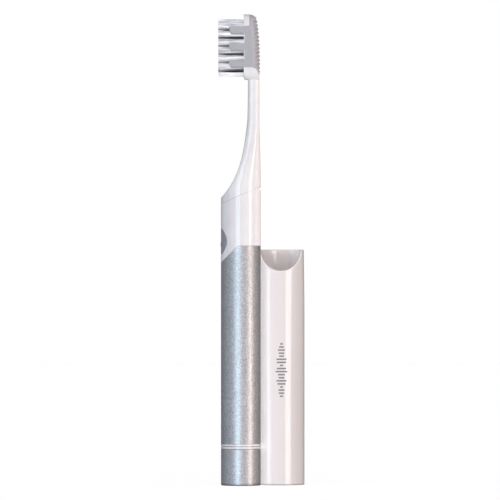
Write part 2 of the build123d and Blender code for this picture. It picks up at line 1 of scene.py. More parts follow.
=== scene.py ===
import json
import math
import bpy
import numpy as np
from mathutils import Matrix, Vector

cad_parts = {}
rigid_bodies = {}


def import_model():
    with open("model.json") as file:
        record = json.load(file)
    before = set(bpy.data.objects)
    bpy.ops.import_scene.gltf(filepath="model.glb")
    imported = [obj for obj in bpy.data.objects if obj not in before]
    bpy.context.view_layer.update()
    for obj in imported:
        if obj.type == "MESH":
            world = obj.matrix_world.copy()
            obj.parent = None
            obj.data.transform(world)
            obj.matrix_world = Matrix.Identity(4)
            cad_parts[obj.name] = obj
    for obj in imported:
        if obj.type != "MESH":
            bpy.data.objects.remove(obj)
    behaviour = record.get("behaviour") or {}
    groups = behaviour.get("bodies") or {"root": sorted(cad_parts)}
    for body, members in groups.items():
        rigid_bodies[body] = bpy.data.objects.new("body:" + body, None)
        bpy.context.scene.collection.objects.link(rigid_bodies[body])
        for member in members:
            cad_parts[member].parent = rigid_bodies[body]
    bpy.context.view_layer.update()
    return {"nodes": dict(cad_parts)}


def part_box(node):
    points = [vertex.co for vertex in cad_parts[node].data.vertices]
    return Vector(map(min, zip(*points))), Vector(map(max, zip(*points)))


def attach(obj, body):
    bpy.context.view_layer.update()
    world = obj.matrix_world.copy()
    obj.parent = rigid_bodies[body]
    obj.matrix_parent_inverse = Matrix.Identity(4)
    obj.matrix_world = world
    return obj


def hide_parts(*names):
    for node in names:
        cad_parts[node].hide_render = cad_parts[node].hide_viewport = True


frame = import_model()
cadNodes = frame["nodes"]
mm = 0.001               # the shapes below are worked out in millimetres
rng = np.random.default_rng(20)      # the same bristles every run


def nodeBox(name):
    # a node's lowest and highest corners at rest: metres divided by a millimetre
    low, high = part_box(name)
    return np.array(low) / mm, np.array(high) / mm


sleeveLow, sleeveHigh = nodeBox("handle_sleeve")
housingBottom = nodeBox("neck_housing")[0][2]
capLow, capHigh = nodeBox("travel_cap")
headTop = nodeBox("head_neck")[1][2]
tuftLow, tuftHigh = nodeBox("outer_tufts")
endCapTop = nodeBox("end_cap")[1][2]
handleRadius = sleeveHigh[0]
print("frame loaded", len(cadNodes), "nodes")


# mesh helpers
def addPoles(grid, poles):
    # grid is rows x columns x 3; each pole is (row index, point) and closes that row with a fan
    rows, columns = grid.shape[:2]
    points = [grid.reshape(-1, 3)]
    fans = []
    for count, (row, point) in enumerate(poles):
        points.append(np.array([point], float))
        apex = rows * columns + count
        here = (row % rows) * columns + np.arange(columns)
        there = np.roll(here, -1)
        order = (here, there) if row == 0 else (there, here)
        fans.append(np.stack([np.full(columns, apex), order[1], order[0]], 1))
    return np.concatenate(points), fans


def gridQuads(rows, columns, around=True, along=False):
    # four neighbours of every grid cell; around joins last column to first, along joins last row to first
    i, j = np.meshgrid(
        np.arange(rows if along else rows - 1),
        np.arange(columns if around else columns - 1),
        indexing="ij",
    )
    nextI = (i + 1) % rows
    nextJ = (j + 1) % columns
    corners = [i * columns + j, i * columns + nextJ, nextI * columns + nextJ, nextI * columns + j]
    return np.stack(corners, -1).reshape(-1, 4)


def enclosedVolume(points, faces):
    # sum of the tetrahedra from the origin to every triangle of the faces
    total = 0.0
    for block in faces:
        for k in range(1, block.shape[1] - 1):
            a, b, c = points[block[:, 0]], points[block[:, k]], points[block[:, k + 1]]
            total += np.einsum("ij,ij->i", a, np.cross(b, c)).sum() / 6
    return total


def makePiece(name, points, faces, body, material, standsFor=(), sharp=38):
    # one mesh from points in millimetres and blocks of faces, turned over if the volume they hold is negative;
    # edges that turn by more than sharp degrees stay crisp
    if enclosedVolume(points, faces) < 0:
        faces = [block[:, ::-1] for block in faces]
    mesh = bpy.data.meshes.new(name)
    listed = [face for block in faces for face in block.tolist()]
    mesh.from_pydata((points * mm).tolist(), [], listed)
    mesh.polygons.foreach_set("use_smooth", np.ones(len(listed), bool))
    mesh.set_sharp_from_angle(angle=math.radians(sharp))
    mesh.update()
    piece = bpy.data.objects.new(name, mesh)
    bpy.context.scene.collection.objects.link(piece)
    mesh.materials.append(material)
    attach(piece, body)
    if standsFor:
        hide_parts(*standsFor)
    return piece


def softCorners(profile, radius, steps=5):
    # a polyline in (radius, height) whose corners are replaced by short quadratic curves
    points = np.array(profile, float)
    made = [points[0]]
    for before, corner, after in zip(points[:-2], points[1:-1], points[2:]):
        back, ahead = before - corner, after - corner
        reach = min(radius, 0.45 * np.linalg.norm(back), 0.45 * np.linalg.norm(ahead))
        start = corner + back / np.linalg.norm(back) * reach
        end = corner + ahead / np.linalg.norm(ahead) * reach
        t = np.linspace(0, 1, steps)[:, None]
        made.extend((1 - t) ** 2 * start + 2 * t * (1 - t) * corner + t ** 2 * end)
    made.append(points[-1])
    return np.array(made)


def turnedPiece(name, profile, body, material, standsFor=(), centre=(0, 0), columns=160):
    # a profile of (radius, height) carried round an upright axis; ends at radius 0 become poles
    profile = np.array(profile, float)
    startPole, endPole = profile[0, 0] < 1e-6, profile[-1, 0] < 1e-6
    inner = profile[1 if startPole else 0:len(profile) - 1 if endPole else len(profile)]
    turn = np.linspace(0, 2 * math.pi, columns, endpoint=False)
    grid = np.stack([
        centre[0] + inner[:, :1] * np.cos(turn),
        centre[1] + inner[:, :1] * np.sin(turn),
        np.repeat(inner[:, 1:], columns, 1),
    ], -1)
    poles = []
    if startPole:
        poles.append((0, (*centre, profile[0, 1])))
    if endPole:
        poles.append((-1, (*centre, profile[-1, 1])))
    points, fans = addPoles(grid, poles)
    quads = gridQuads(len(inner), columns, along=not (startPole or endPole))
    return makePiece(name, points, [quads] + fans, body, material, standsFor)


# shader groups: each puts out masks and heights only
def newGroup(name, inputs, outputs):
    # an empty shader group: inputs are (label, kind, value), outputs are (label, kind)
    group = bpy.data.node_groups.new(name, "ShaderNodeTree")
    for label, kind, value in inputs:
        socket = group.interface.new_socket(label, in_out="INPUT", socket_type=kind)
        if value is not None:
            socket.default_value = value
    for label, kind in outputs:
        group.interface.new_socket(label, in_out="OUTPUT", socket_type=kind)
    start = group.nodes.new("NodeGroupInput")
    end = group.nodes.new("NodeGroupOutput")
    return group, start, end


def addNode(tree, kind, links=None, **settings):
    # one node; links maps an input name or number to a value or to another node's socket
    node = tree.nodes.new(kind)
    for key, value in settings.items():
        setattr(node, key, value)
    for key, value in (links or {}).items():
        if isinstance(value, bpy.types.NodeSocket):
            tree.links.new(value, node.inputs[key])
        else:
            node.inputs[key].default_value = value
    return node


def mathNode(tree, operation, *values):
    # one sum of numbers or sockets
    return addNode(tree, "ShaderNodeMath", dict(enumerate(values)), operation=operation).outputs[0]


def stretchNode(tree, value, low, high, bottom=0.0, top=1.0):
    # carries low..high onto bottom..top in a straight line, clipped at both ends
    return addNode(tree, "ShaderNodeMapRange", {0: value, 1: low, 2: high, 3: bottom, 4: top}).outputs[0]


placeIn = ("Place", "NodeSocketVector", None)
number = "NodeSocketFloat"


def buildGrainGroup():
    # fine moulded or blasted texture: two octaves of noise at a stated grain size in metres
    group, start, end = newGroup(
        "surfaceGrain",
        [placeIn, ("Grain Size", number, 0.0005), ("Detail", number, 3.0)],
        [("Height", number), ("Mask", number)],
    )
    scale = mathNode(group, "DIVIDE", 1.0, start.outputs["Grain Size"])
    noise = addNode(group, "ShaderNodeTexNoise", {
        "Vector": start.outputs["Place"], "Scale": scale,
        "Detail": start.outputs["Detail"], "Roughness": 0.6,
    })
    spread = stretchNode(group, noise.outputs["Fac"], 0.35, 0.65)
    group.links.new(noise.outputs["Fac"], end.inputs["Height"])
    group.links.new(spread, end.inputs["Mask"])
    return group


def buildFlakeGroup():
    # metal flakes: every small cell gets its own brightness and tilt
    group, start, end = newGroup(
        "metalFlakes",
        [placeIn, ("Flake Size", number, 0.0003), ("Amount", number, 1.0)],
        [("Glint", number), ("Height", number)],
    )
    scale = mathNode(group, "DIVIDE", 1.0, start.outputs["Flake Size"])
    cells = addNode(group, "ShaderNodeTexVoronoi", {"Vector": start.outputs["Place"], "Scale": scale})
    parts = addNode(group, "ShaderNodeSeparateColor", {0: cells.outputs["Color"]})
    softer = addNode(group, "ShaderNodeTexNoise", {
        "Vector": start.outputs["Place"], "Scale": mathNode(group, "MULTIPLY", scale, 1.1), "Detail": 1.0,
    })
    tilt = mathNode(group, "MULTIPLY", parts.outputs[1], 0.4)
    glint = mathNode(group, "MULTIPLY", parts.outputs[0], start.outputs["Amount"])
    height = mathNode(group, "ADD", tilt, softer.outputs["Fac"])
    group.links.new(glint, end.inputs["Glint"])
    group.links.new(height, end.inputs["Height"])
    return group


def buildHandlingGroup():
    # faint smudges and streaks left by hands: stretched low noise, and rare fine scratches
    group, start, end = newGroup(
        "handlingMarks",
        [placeIn, ("Spread", number, 0.012), ("Strength", number, 0.1)],
        [("Smudge", number), ("Scratch", number)],
    )
    scale = mathNode(group, "DIVIDE", 1.0, start.outputs["Spread"])
    smear = addNode(group, "ShaderNodeTexNoise", {
        "Vector": start.outputs["Place"], "Scale": scale, "Detail": 4.0, "Distortion": 0.6,
    })
    smudge = stretchNode(group, smear.outputs["Fac"], 0.4, 0.75, top=start.outputs["Strength"])
    drawn = addNode(group, "ShaderNodeMapping", {"Vector": start.outputs["Place"], "Scale": (1.0, 1.0, 0.06)})
    hair = addNode(group, "ShaderNodeTexNoise", {
        "Vector": drawn.outputs[0], "Scale": mathNode(group, "MULTIPLY", scale, 30.0), "Detail": 1.0,
    })
    scratch = stretchNode(group, hair.outputs["Fac"], 0.7, 0.8, top=start.outputs["Strength"])
    group.links.new(smudge, end.inputs["Smudge"])
    group.links.new(scratch, end.inputs["Scratch"])
    return group


def buildEdgeGroup():
    # painted shade round an edge that lies at one height: a dark band broken up by noise, left off level faces
    group, start, end = newGroup(
        "edgeBand",
        [placeIn, ("Height", number, 0.0), ("Reach", number, 0.0008), ("Breakup", number, 0.5)],
        [("Mask", number)],
    )
    height = addNode(group, "ShaderNodeSeparateXYZ", {0: start.outputs["Place"]}).outputs[2]
    away = mathNode(group, "ABSOLUTE", mathNode(group, "SUBTRACT", height, start.outputs["Height"]))
    near = mathNode(group, "SUBTRACT", 1.0, mathNode(group, "DIVIDE", away, start.outputs["Reach"]))
    noise = addNode(group, "ShaderNodeTexNoise", {
        "Vector": start.outputs["Place"], "Scale": 900.0, "Detail": 3.0,
    })
    gaps = mathNode(group, "MULTIPLY", noise.outputs["Fac"], start.outputs["Breakup"])
    band = addNode(group, "ShaderNodeClamp", {0: mathNode(group, "SUBTRACT", near, gaps)}).outputs[0]
    normal = addNode(group, "ShaderNodeNewGeometry").outputs["Normal"]
    upward = addNode(group, "ShaderNodeSeparateXYZ", {0: normal}).outputs[2]
    level = mathNode(group, "POWER", mathNode(group, "ABSOLUTE", upward), 6.0)
    mask = mathNode(group, "MULTIPLY", band, mathNode(group, "SUBTRACT", 1.0, level))
    group.links.new(mask, end.inputs["Mask"])
    return group


grainGroup = buildGrainGroup()
flakeGroup = buildFlakeGroup()
handlingGroup = buildHandlingGroup()
edgeGroup = buildEdgeGroup()


def useGroup(tree, group, place, **values):
    # places a shared effect with this material's own values
    node = tree.nodes.new("ShaderNodeGroup")
    node.node_tree = group
    tree.links.new(place, node.inputs["Place"])
    for label, value in values.items():
        node.inputs[label.replace("_", " ")].default_value = value
    return node


def startMaterial(name, **sockets):
    # a material with plain values on its shader's sockets, and the Object coordinates its patterns read
    material = bpy.data.materials.new(name)
    material.use_nodes = True
    tree = material.node_tree
    shader = tree.nodes["Principled BSDF"]
    for label, value in sockets.items():
        shader.inputs[label.replace("_", " ")].default_value = value
    place = addNode(tree, "ShaderNodeTexCoord").outputs["Object"]
    return material, tree, shader, place


def mixColours(tree, mask, first, second):
    # first where the mask is 0, second where it is 1
    mix = addNode(tree, "ShaderNodeMix", data_type="RGBA")
    for socket, value in ((mix.inputs[0], mask), (mix.inputs[6], first), (mix.inputs[7], second)):
        if isinstance(value, bpy.types.NodeSocket):
            tree.links.new(value, socket)
        else:
            socket.default_value = (*value, 1.0)
    return mix.outputs[2]


def addBump(tree, shader, height, strength, distance):
    # height 1 lifts the surface by distance, in metres
    bump = addNode(tree, "ShaderNodeBump", {"Height": height, "Strength": strength, "Distance": distance})
    tree.links.new(bump.outputs[0], shader.inputs["Normal"])


def metalLacquer():
    # satin silver lacquer over metal flakes that differ in brightness and tilt, darker round the foot with
    # painted shade
    lacquer = {
        "dark": (0.55, 0.56, 0.58), "light": (0.86, 0.87, 0.89), "foot": (0.14, 0.14, 0.155),
        "flake": 0.00034, "roughness": 0.30, "glintRoughness": 0.12, "bump": 0.00002,
    }
    material, tree, shader, place = startMaterial("silverLacquer", Metallic=0.92, Coat_Roughness=0.18)
    flakes = useGroup(tree, flakeGroup, place, Flake_Size=lacquer["flake"], Amount=1.0)
    marks = useGroup(tree, handlingGroup, place, Spread=0.016, Strength=0.09)
    # painted shade: a dark band round the foot's rounding, standing in for the shadow on the underside
    foot = useGroup(tree, edgeGroup, place, Height=0.0, Reach=0.0014, Breakup=0.3)
    colour = mixColours(tree, flakes.outputs["Glint"], lacquer["dark"], lacquer["light"])
    colour = mixColours(tree, foot.outputs["Mask"], colour, lacquer["foot"])
    tree.links.new(colour, shader.inputs["Base Color"])
    rough = mathNode(tree, "MULTIPLY", flakes.outputs["Glint"], lacquer["glintRoughness"])
    rough = mathNode(tree, "ADD", rough, lacquer["roughness"])
    rough = mathNode(tree, "ADD", rough, marks.outputs["Smudge"])
    tree.links.new(rough, shader.inputs["Roughness"])
    addBump(tree, shader, flakes.outputs["Height"], 0.5, lacquer["bump"])
    return material


def glossPlastic(name, light, shade, roughness):
    # polished moulding: nearly smooth, with slow waves from the mould and faint smudges
    material, tree, shader, place = startMaterial(
        name, Coat_Weight=1.0, Coat_Roughness=0.04, Coat_IOR=1.8, IOR=1.5)
    waves = useGroup(tree, grainGroup, place, Grain_Size=0.006, Detail=1.0)
    marks = useGroup(tree, handlingGroup, place, Spread=0.010, Strength=0.05)
    colour = mixColours(tree, waves.outputs["Mask"], light, shade)
    tree.links.new(colour, shader.inputs["Base Color"])
    rough = mathNode(tree, "ADD", marks.outputs["Smudge"], roughness)
    tree.links.new(rough, shader.inputs["Roughness"])
    addBump(tree, shader, waves.outputs["Height"], 0.05, 0.0002)
    return material


def pearlPlastic():
    # pearl white: gloss over very fine, low-contrast flakes that turn slightly pink, with painted shade round the
    # foot
    pearl = {
        "shade": (0.86, 0.81, 0.80), "light": (0.93, 0.88, 0.87), "footShade": (0.22, 0.20, 0.20),
        "flake": 0.00016, "roughness": 0.16,
    }
    material, tree, shader, place = startMaterial(
        "pearlWhite", Coat_Weight=1.0, Coat_Roughness=0.10, Coat_IOR=1.8)
    flakes = useGroup(tree, flakeGroup, place, Flake_Size=pearl["flake"], Amount=0.35)
    waves = useGroup(tree, grainGroup, place, Grain_Size=0.009, Detail=1.0)
    marks = useGroup(tree, handlingGroup, place, Spread=0.014, Strength=0.05)
    # painted shade: a dark band round the cap's foot, standing in for the shadow on its lower rounding
    footShade = useGroup(tree, edgeGroup, place, Height=0.0, Reach=0.0009, Breakup=0.3)
    colour = mixColours(tree, flakes.outputs["Glint"], pearl["shade"], pearl["light"])
    colour = mixColours(tree, footShade.outputs["Mask"], colour, pearl["footShade"])
    tree.links.new(colour, shader.inputs["Base Color"])
    rough = mathNode(tree, "ADD", marks.outputs["Smudge"], pearl["roughness"])
    tree.links.new(rough, shader.inputs["Roughness"])
    addBump(tree, shader, waves.outputs["Height"], 0.05, 0.0002)
    return material


def softRubber(name, light, shade, grain=0.00025, roughness=0.5, bump=0.00003):
    # soft-touch moulding: matt, finely pebbled, with a little uneven sheen
    material, tree, shader, place = startMaterial(name, Sheen_Weight=0.15, Sheen_Roughness=0.4)
    pebble = useGroup(tree, grainGroup, place, Grain_Size=grain, Detail=3.0)
    marks = useGroup(tree, handlingGroup, place, Spread=0.005, Strength=0.12)
    tree.links.new(mixColours(tree, pebble.outputs["Mask"], shade, light), shader.inputs["Base Color"])
    tree.links.new(mathNode(tree, "ADD", marks.outputs["Smudge"], roughness), shader.inputs["Roughness"])
    addBump(tree, shader, pebble.outputs["Height"], 0.5, bump)
    return material


def turnedSteel(name, light, shade, roughness, stretch=(1.0, 1.0, 25.0)):
    # lathe-turned or rolled metal: noise drawn out round the part
    material, tree, shader, place = startMaterial(name, Metallic=1.0)
    drawn = addNode(tree, "ShaderNodeMapping", {"Vector": place, "Scale": stretch})
    lines = useGroup(tree, grainGroup, drawn.outputs[0], Grain_Size=0.002, Detail=4.0)
    marks = useGroup(tree, handlingGroup, place, Spread=0.004, Strength=0.12)
    tree.links.new(mixColours(tree, lines.outputs["Mask"], shade, light), shader.inputs["Base Color"])
    tree.links.new(mathNode(tree, "ADD", marks.outputs["Smudge"], roughness), shader.inputs["Roughness"])
    addBump(tree, shader, lines.outputs["Height"], 0.3, 0.00003)
    return material


def nylonFilament(name, light, shade, glow):
    # drawn nylon: smooth, in strands of differing brightness; the glow stands for light carried inside
    # clear filaments
    material, tree, shader, place = startMaterial(name, IOR=1.53, Coat_Weight=0.2)
    along = addNode(tree, "ShaderNodeMapping", {"Vector": place, "Scale": (0.08, 1.0, 1.0)})
    streak = useGroup(tree, grainGroup, along.outputs[0], Grain_Size=0.0008, Detail=3.0)
    tree.links.new(mixColours(tree, streak.outputs["Mask"], shade, light), shader.inputs["Base Color"])
    rough = mathNode(tree, "ADD", mathNode(tree, "MULTIPLY", streak.outputs["Mask"], 0.1), 0.22)
    tree.links.new(rough, shader.inputs["Roughness"])
    shader.inputs["Emission Strength"].default_value = glow
    lit = mixColours(tree, streak.outputs["Mask"], (0.0, 0.0, 0.0), (0.95, 0.96, 1.0))
    tree.links.new(lit, shader.inputs["Emission Color"])
    return material


def boardLaminate():
    # solder mask with copper tracks: a brick pattern stands in for the track layout
    material, tree, shader, place = startMaterial("boardLaminate", Coat_Weight=0.3)
    turned = addNode(tree, "ShaderNodeMapping", {"Vector": place, "Rotation": (0.0, math.pi / 2, 0.0)})
    tracks = addNode(tree, "ShaderNodeTexBrick", {
        "Vector": turned.outputs[0], "Scale": 300.0, "Mortar Size": 0.03,
        "Color1": (0.02, 0.20, 0.10, 1), "Color2": (0.015, 0.16, 0.08, 1),
        "Mortar": (0.10, 0.42, 0.22, 1),
    })
    weave = useGroup(tree, grainGroup, place, Grain_Size=0.0004, Detail=2.0)
    tree.links.new(tracks.outputs["Color"], shader.inputs["Base Color"])
    rough = mathNode(tree, "ADD", mathNode(tree, "MULTIPLY", weave.outputs["Mask"], 0.15), 0.3)
    tree.links.new(rough, shader.inputs["Roughness"])
    addBump(tree, shader, tracks.outputs["Fac"], 0.4, 0.00004)
    return material


def cellWrapper():
    # shrink-wrapped cell: green body, copper-coloured band towards the nub, no lettering
    material, tree, shader, place = startMaterial("cellWrapper", Coat_Weight=0.6, Coat_Roughness=0.1)
    height = addNode(tree, "ShaderNodeSeparateXYZ", {0: place}).outputs[2]
    band = mathNode(tree, "GREATER_THAN", height, 0.041)      # where the copper colour starts, in metres
    marks = useGroup(tree, handlingGroup, place, Spread=0.006, Strength=0.1)
    wrinkle = useGroup(tree, grainGroup, place, Grain_Size=0.002, Detail=2.0)
    colour = mixColours(tree, band, (0.05, 0.22, 0.12), (0.55, 0.33, 0.14))
    colour = mixColours(tree, marks.outputs["Smudge"], colour, (0.3, 0.3, 0.3))
    tree.links.new(colour, shader.inputs["Base Color"])
    tree.links.new(mathNode(tree, "ADD", marks.outputs["Scratch"], 0.25), shader.inputs["Roughness"])
    addBump(tree, shader, wrinkle.outputs["Height"], 0.2, 0.00005)
    return material


looks = {
    "silver": metalLacquer(),
    "white": glossPlastic("glossWhite", (0.83, 0.83, 0.84), (0.80, 0.80, 0.815), 0.10),
    "headWhite": glossPlastic("headWhite", (0.84, 0.84, 0.855), (0.81, 0.81, 0.828), 0.12),
    "ring": glossPlastic("ringLight", (0.82, 0.82, 0.84), (0.76, 0.76, 0.79), 0.14),
    "pearl": pearlPlastic(),
    "soft": softRubber("softGrey", (0.44, 0.445, 0.48), (0.38, 0.385, 0.42)),
    "button": softRubber("buttonGrey", (0.32, 0.33, 0.37), (0.27, 0.28, 0.315), roughness=0.42),
    "print": softRubber("printGrey", (0.28, 0.28, 0.29), (0.22, 0.22, 0.23),
                        roughness=0.35, bump=0.00001),
    "rubber": softRubber("darkRubber", (0.07, 0.07, 0.075), (0.035, 0.035, 0.04), grain=0.0004),
    "inner": softRubber("mouldedInner", (0.34, 0.35, 0.37), (0.27, 0.28, 0.30),
                        grain=0.0008, roughness=0.45),
    "black": softRubber("mouldedBlack", (0.05, 0.05, 0.055), (0.02, 0.02, 0.022),
                        grain=0.0005, roughness=0.35),
    "contact": turnedSteel("platedContact", (0.80, 0.77, 0.70), (0.60, 0.57, 0.50), 0.22),
    "steel": turnedSteel("turnedSteel", (0.72, 0.72, 0.73), (0.50, 0.50, 0.52), 0.2),
    "can": turnedSteel("drawnCan", (0.66, 0.66, 0.67), (0.48, 0.48, 0.5), 0.3, (25.0, 25.0, 1.0)),
    "brass": turnedSteel("weightBrass", (0.72, 0.56, 0.28), (0.50, 0.37, 0.16), 0.25),
    "bristleWhite": nylonFilament("clearNylon", (0.93, 0.93, 0.945), (0.50, 0.505, 0.535), 0.42),
    "bristleBlack": nylonFilament("charcoalNylon", (0.030, 0.030, 0.034), (0.015, 0.015, 0.018), 0.0),
    "board": boardLaminate(),
    "cell": cellWrapper(),
}
print("materials made", len(looks))

nodeLooks = {
    "inner_chassis": "inner", "positive_contact": "contact", "negative_strip": "contact",
    "circuit_board": "board", "board_components": "black", "tact_switch": "black",
    "switch_boot": "rubber", "motor_can": "can", "motor_cradle": "rubber", "motor_leads": "black",
    "motor_shaft": "steel", "eccentric_weight": "brass", "socket_insert": "steel", "spring_contact": "contact",
}
for nodeName, lookName in nodeLooks.items():
    mesh = cadNodes[nodeName].data
    mesh.materials.clear()
    mesh.materials.append(looks[lookName])
print("CAD nodes painted", len(nodeLooks))

# handle, sizes in millimetres and heights above the foot
handle = {
    "slantFoot": 90.0,       # height at which the slanted line meets the front of the handle
    "slantRadius": 3.5,      # rounding where the slant turns level
    "seamFront": 113.4,
    "seamBack": 120.7,
    "seamClosed": 0.115,     # how far the seam's gap is closed up
    "columns": 256,
    "wallRows": 40,
    "sleeveWall": 0.6,
    "polish": 0.14,          # width of the chamfer on the sleeve's edge
    "plugGap": 0.65,         # the housing's plug is this much slimmer than the handle
    "housingBore": 6.8,
    "housingRows": 60,
    "housingStep": 0.12,     # rounding where the housing steps out over the sleeve's edge
    "ceiling": 1.6,          # thickness of the housing's top
    "boreTop": 110.0,
    "buttonHeight": 98.4,
    "buttonHole": 5.8,
    "sleeveRingBore": 6.7,
    "capRingBore": 6.35,
}
turnAll = np.linspace(0, 2 * math.pi, handle["columns"], endpoint=False)


def sleeveEdgeHeight(x):
    # slanted line at the front, level line behind, joined by an arc that touches both
    top, radius = sleeveHigh[2], handle["slantRadius"]
    meet = top - handle["slantFoot"] - handleRadius
    reach = radius * math.tan(math.pi / 8)
    slantEnd, levelStart = meet - reach * math.cos(math.pi / 4), meet + reach
    arc = top - radius + np.sqrt(np.maximum(0, radius ** 2 - (x - levelStart) ** 2))
    slanted = handle["slantFoot"] + x + handleRadius
    return np.where(x < slantEnd, slanted, np.where(x < levelStart, arc, top))


def seamHeightAt(x):
    # a straight slope from the front of the handle to its back
    middle = (handle["seamFront"] + handle["seamBack"]) / 2
    return middle + x * (handle["seamBack"] - handle["seamFront"]) / (2 * handleRadius)


def seamShare(x):
    # 1 at the front of the handle, 0 at the back
    return 0.5 - x / (2 * handleRadius)


def ringRows(radii, heights):
    # rows of points round the axis; heights may differ from column to column
    radii = np.array(radii)[:, None]
    z = np.stack([np.broadcast_to(height, turnAll.shape) for height in heights])
    return np.stack([radii * np.cos(turnAll), radii * np.sin(turnAll), z], -1)


def makeSleeve():
    # tube wall: up the outside, over a polished chamfer, down the inside, and round to the start
    edge = sleeveEdgeHeight(handleRadius * np.cos(turnAll))
    bottom, bore, bevel = sleeveLow[2], handleRadius - handle["sleeveWall"], handle["polish"]
    share = np.linspace(0, 1, handle["wallRows"])
    radii = [handleRadius - bevel] + [handleRadius] * len(share)
    heights = [bottom] + [bottom + bevel + (edge - 2 * bevel - bottom) * s for s in share]
    radii += [handleRadius - bevel, bore, bore]
    heights += [edge, edge, np.full_like(edge, bottom)]
    grid = ringRows(radii, heights)
    quads = gridQuads(len(grid), handle["columns"], along=True)
    makePiece("sleeveShell", grid.reshape(-1, 3), [quads], "handle", looks["silver"],
              ["handle_sleeve"], sharp=25)


def makeHousing():
    # plug inside the sleeve, step out over the sleeve's edge, wall up to the slanted seam, closed ceiling;
    # the seam is lifted most in front, where the head's own share of the closing is least
    x = handleRadius * np.cos(turnAll)
    edge = sleeveEdgeHeight(x) + 0.01
    seam = seamHeightAt(x) + handle["seamClosed"] * seamShare(x)
    plug, bore, step = handleRadius - handle["plugGap"], handle["housingBore"], handle["housingStep"]
    share = np.linspace(0, 1, handle["housingRows"])
    foot = edge + step
    radii = [bore, plug, plug, handleRadius - step] + [handleRadius] * len(share)
    heights = [housingBottom, housingBottom, edge, edge]
    heights += [foot + (seam - edge - step - 0.07) * along for along in share]
    radii += [handleRadius - 0.02, handleRadius - 0.06]
    heights += [seam - 0.02, seam]
    for inward in (0.8, 0.5, 0.2):
        radii.append(handleRadius * inward)
        heights.append(seamHeightAt(handleRadius * inward * np.cos(turnAll)))
    inside = ringRows([bore * 0.3, bore, bore], [
        seamHeightAt(bore * 0.3 * np.cos(turnAll)) - handle["ceiling"],
        seamHeightAt(bore * np.cos(turnAll)) - handle["ceiling"],
        handle["boreTop"],
    ])
    rows = np.concatenate([inside, ringRows(radii, heights)])
    middle = seamHeightAt(0)
    points, fans = addPoles(rows, [(0, (0, 0, middle - handle["ceiling"])), (-1, (0, 0, middle))])
    quads = gridQuads(len(rows), handle["columns"])
    shell = makePiece("neckShell", points, [quads] + fans, "handle", looks["white"],
                      ["neck_housing"], sharp=25)
    cutHole(shell)
    cutNotch(shell)


def cutHole(shell):
    # the button's round opening, cut through the front wall with a drum, turned a little off the wall's columns
    hole = {"radius": handle["buttonHole"], "height": handle["buttonHeight"], "columns": 128, "turned": 0.013}
    turn = hole["turned"] + np.linspace(0, 2 * math.pi, hole["columns"], endpoint=False)
    y, z = hole["radius"] * np.cos(turn), hole["height"] + hole["radius"] * np.sin(turn)
    ends = (-handleRadius - 2, -3.2)
    grid = np.stack([np.stack([np.full_like(turn, x), y, z], -1) for x in ends])
    points, fans = addPoles(grid, [(0, (ends[0], 0, hole["height"])), (-1, (ends[1], 0, hole["height"]))])
    cutAway(shell, points, [gridQuads(2, hole["columns"])] + fans)


def cutNotch(shell):
    # fingernail notch at the back, just under the seam: a round-ended trough across the wall
    notch = {"depth": 0.7, "half": 2.5, "height": 119.7, "rise": 0.55, "columns": 48}
    turn = np.linspace(0, 2 * math.pi, notch["columns"], endpoint=False)
    ends = (-notch["half"], notch["half"])
    x = handleRadius + 0.1 + (notch["depth"] + 0.1) * np.cos(turn)
    z = notch["height"] + notch["rise"] * np.sin(turn)
    grid = np.stack([np.stack([x, np.full_like(turn, y), z], -1) for y in ends])
    points, fans = addPoles(grid, [(0, (handleRadius, ends[0], notch["height"])),
                                   (-1, (handleRadius, ends[1], notch["height"]))])
    cutAway(shell, points, [gridQuads(2, notch["columns"])] + fans)


def cutAway(shell, points, faces):
    # subtracts a closed shape from a shell
    if enclosedVolume(points, faces) < 0:
        faces = [block[:, ::-1] for block in faces]
    mesh = bpy.data.meshes.new("cutter")
    mesh.from_pydata((points * mm).tolist(), [], [f for block in faces for f in block.tolist()])
    cutter = bpy.data.objects.new("cutter", mesh)
    bpy.context.scene.collection.objects.link(cutter)
    cut = shell.modifiers.new("opening", "BOOLEAN")
    cut.operation, cut.solver, cut.object = "DIFFERENCE", "EXACT", cutter
    applyModifiers(shell)
    bpy.data.objects.remove(cutter)


def applyModifiers(piece):
    # swaps the piece's mesh for the one its modifiers give
    graph = bpy.context.evaluated_depsgraph_get()
    finished = bpy.data.meshes.new_from_object(piece.evaluated_get(graph))
    piece.modifiers.clear()
    piece.data = finished
    finished.set_sharp_from_angle(angle=math.radians(25))


def makeRing(name, bore, body, node):
    # light band with both outer corners rounded: a square profile turned round the axis
    bottom, top = nodeBox(node)[0][2], nodeBox(node)[1][2]
    profile = [(bore, bottom), (handleRadius, bottom), (handleRadius, top), (bore, top), (bore, bottom)]
    smooth = softCorners(profile, 0.16, 6)[:-1]
    turnedPiece(name, smooth, body, looks["ring"], [node], columns=handle["columns"])


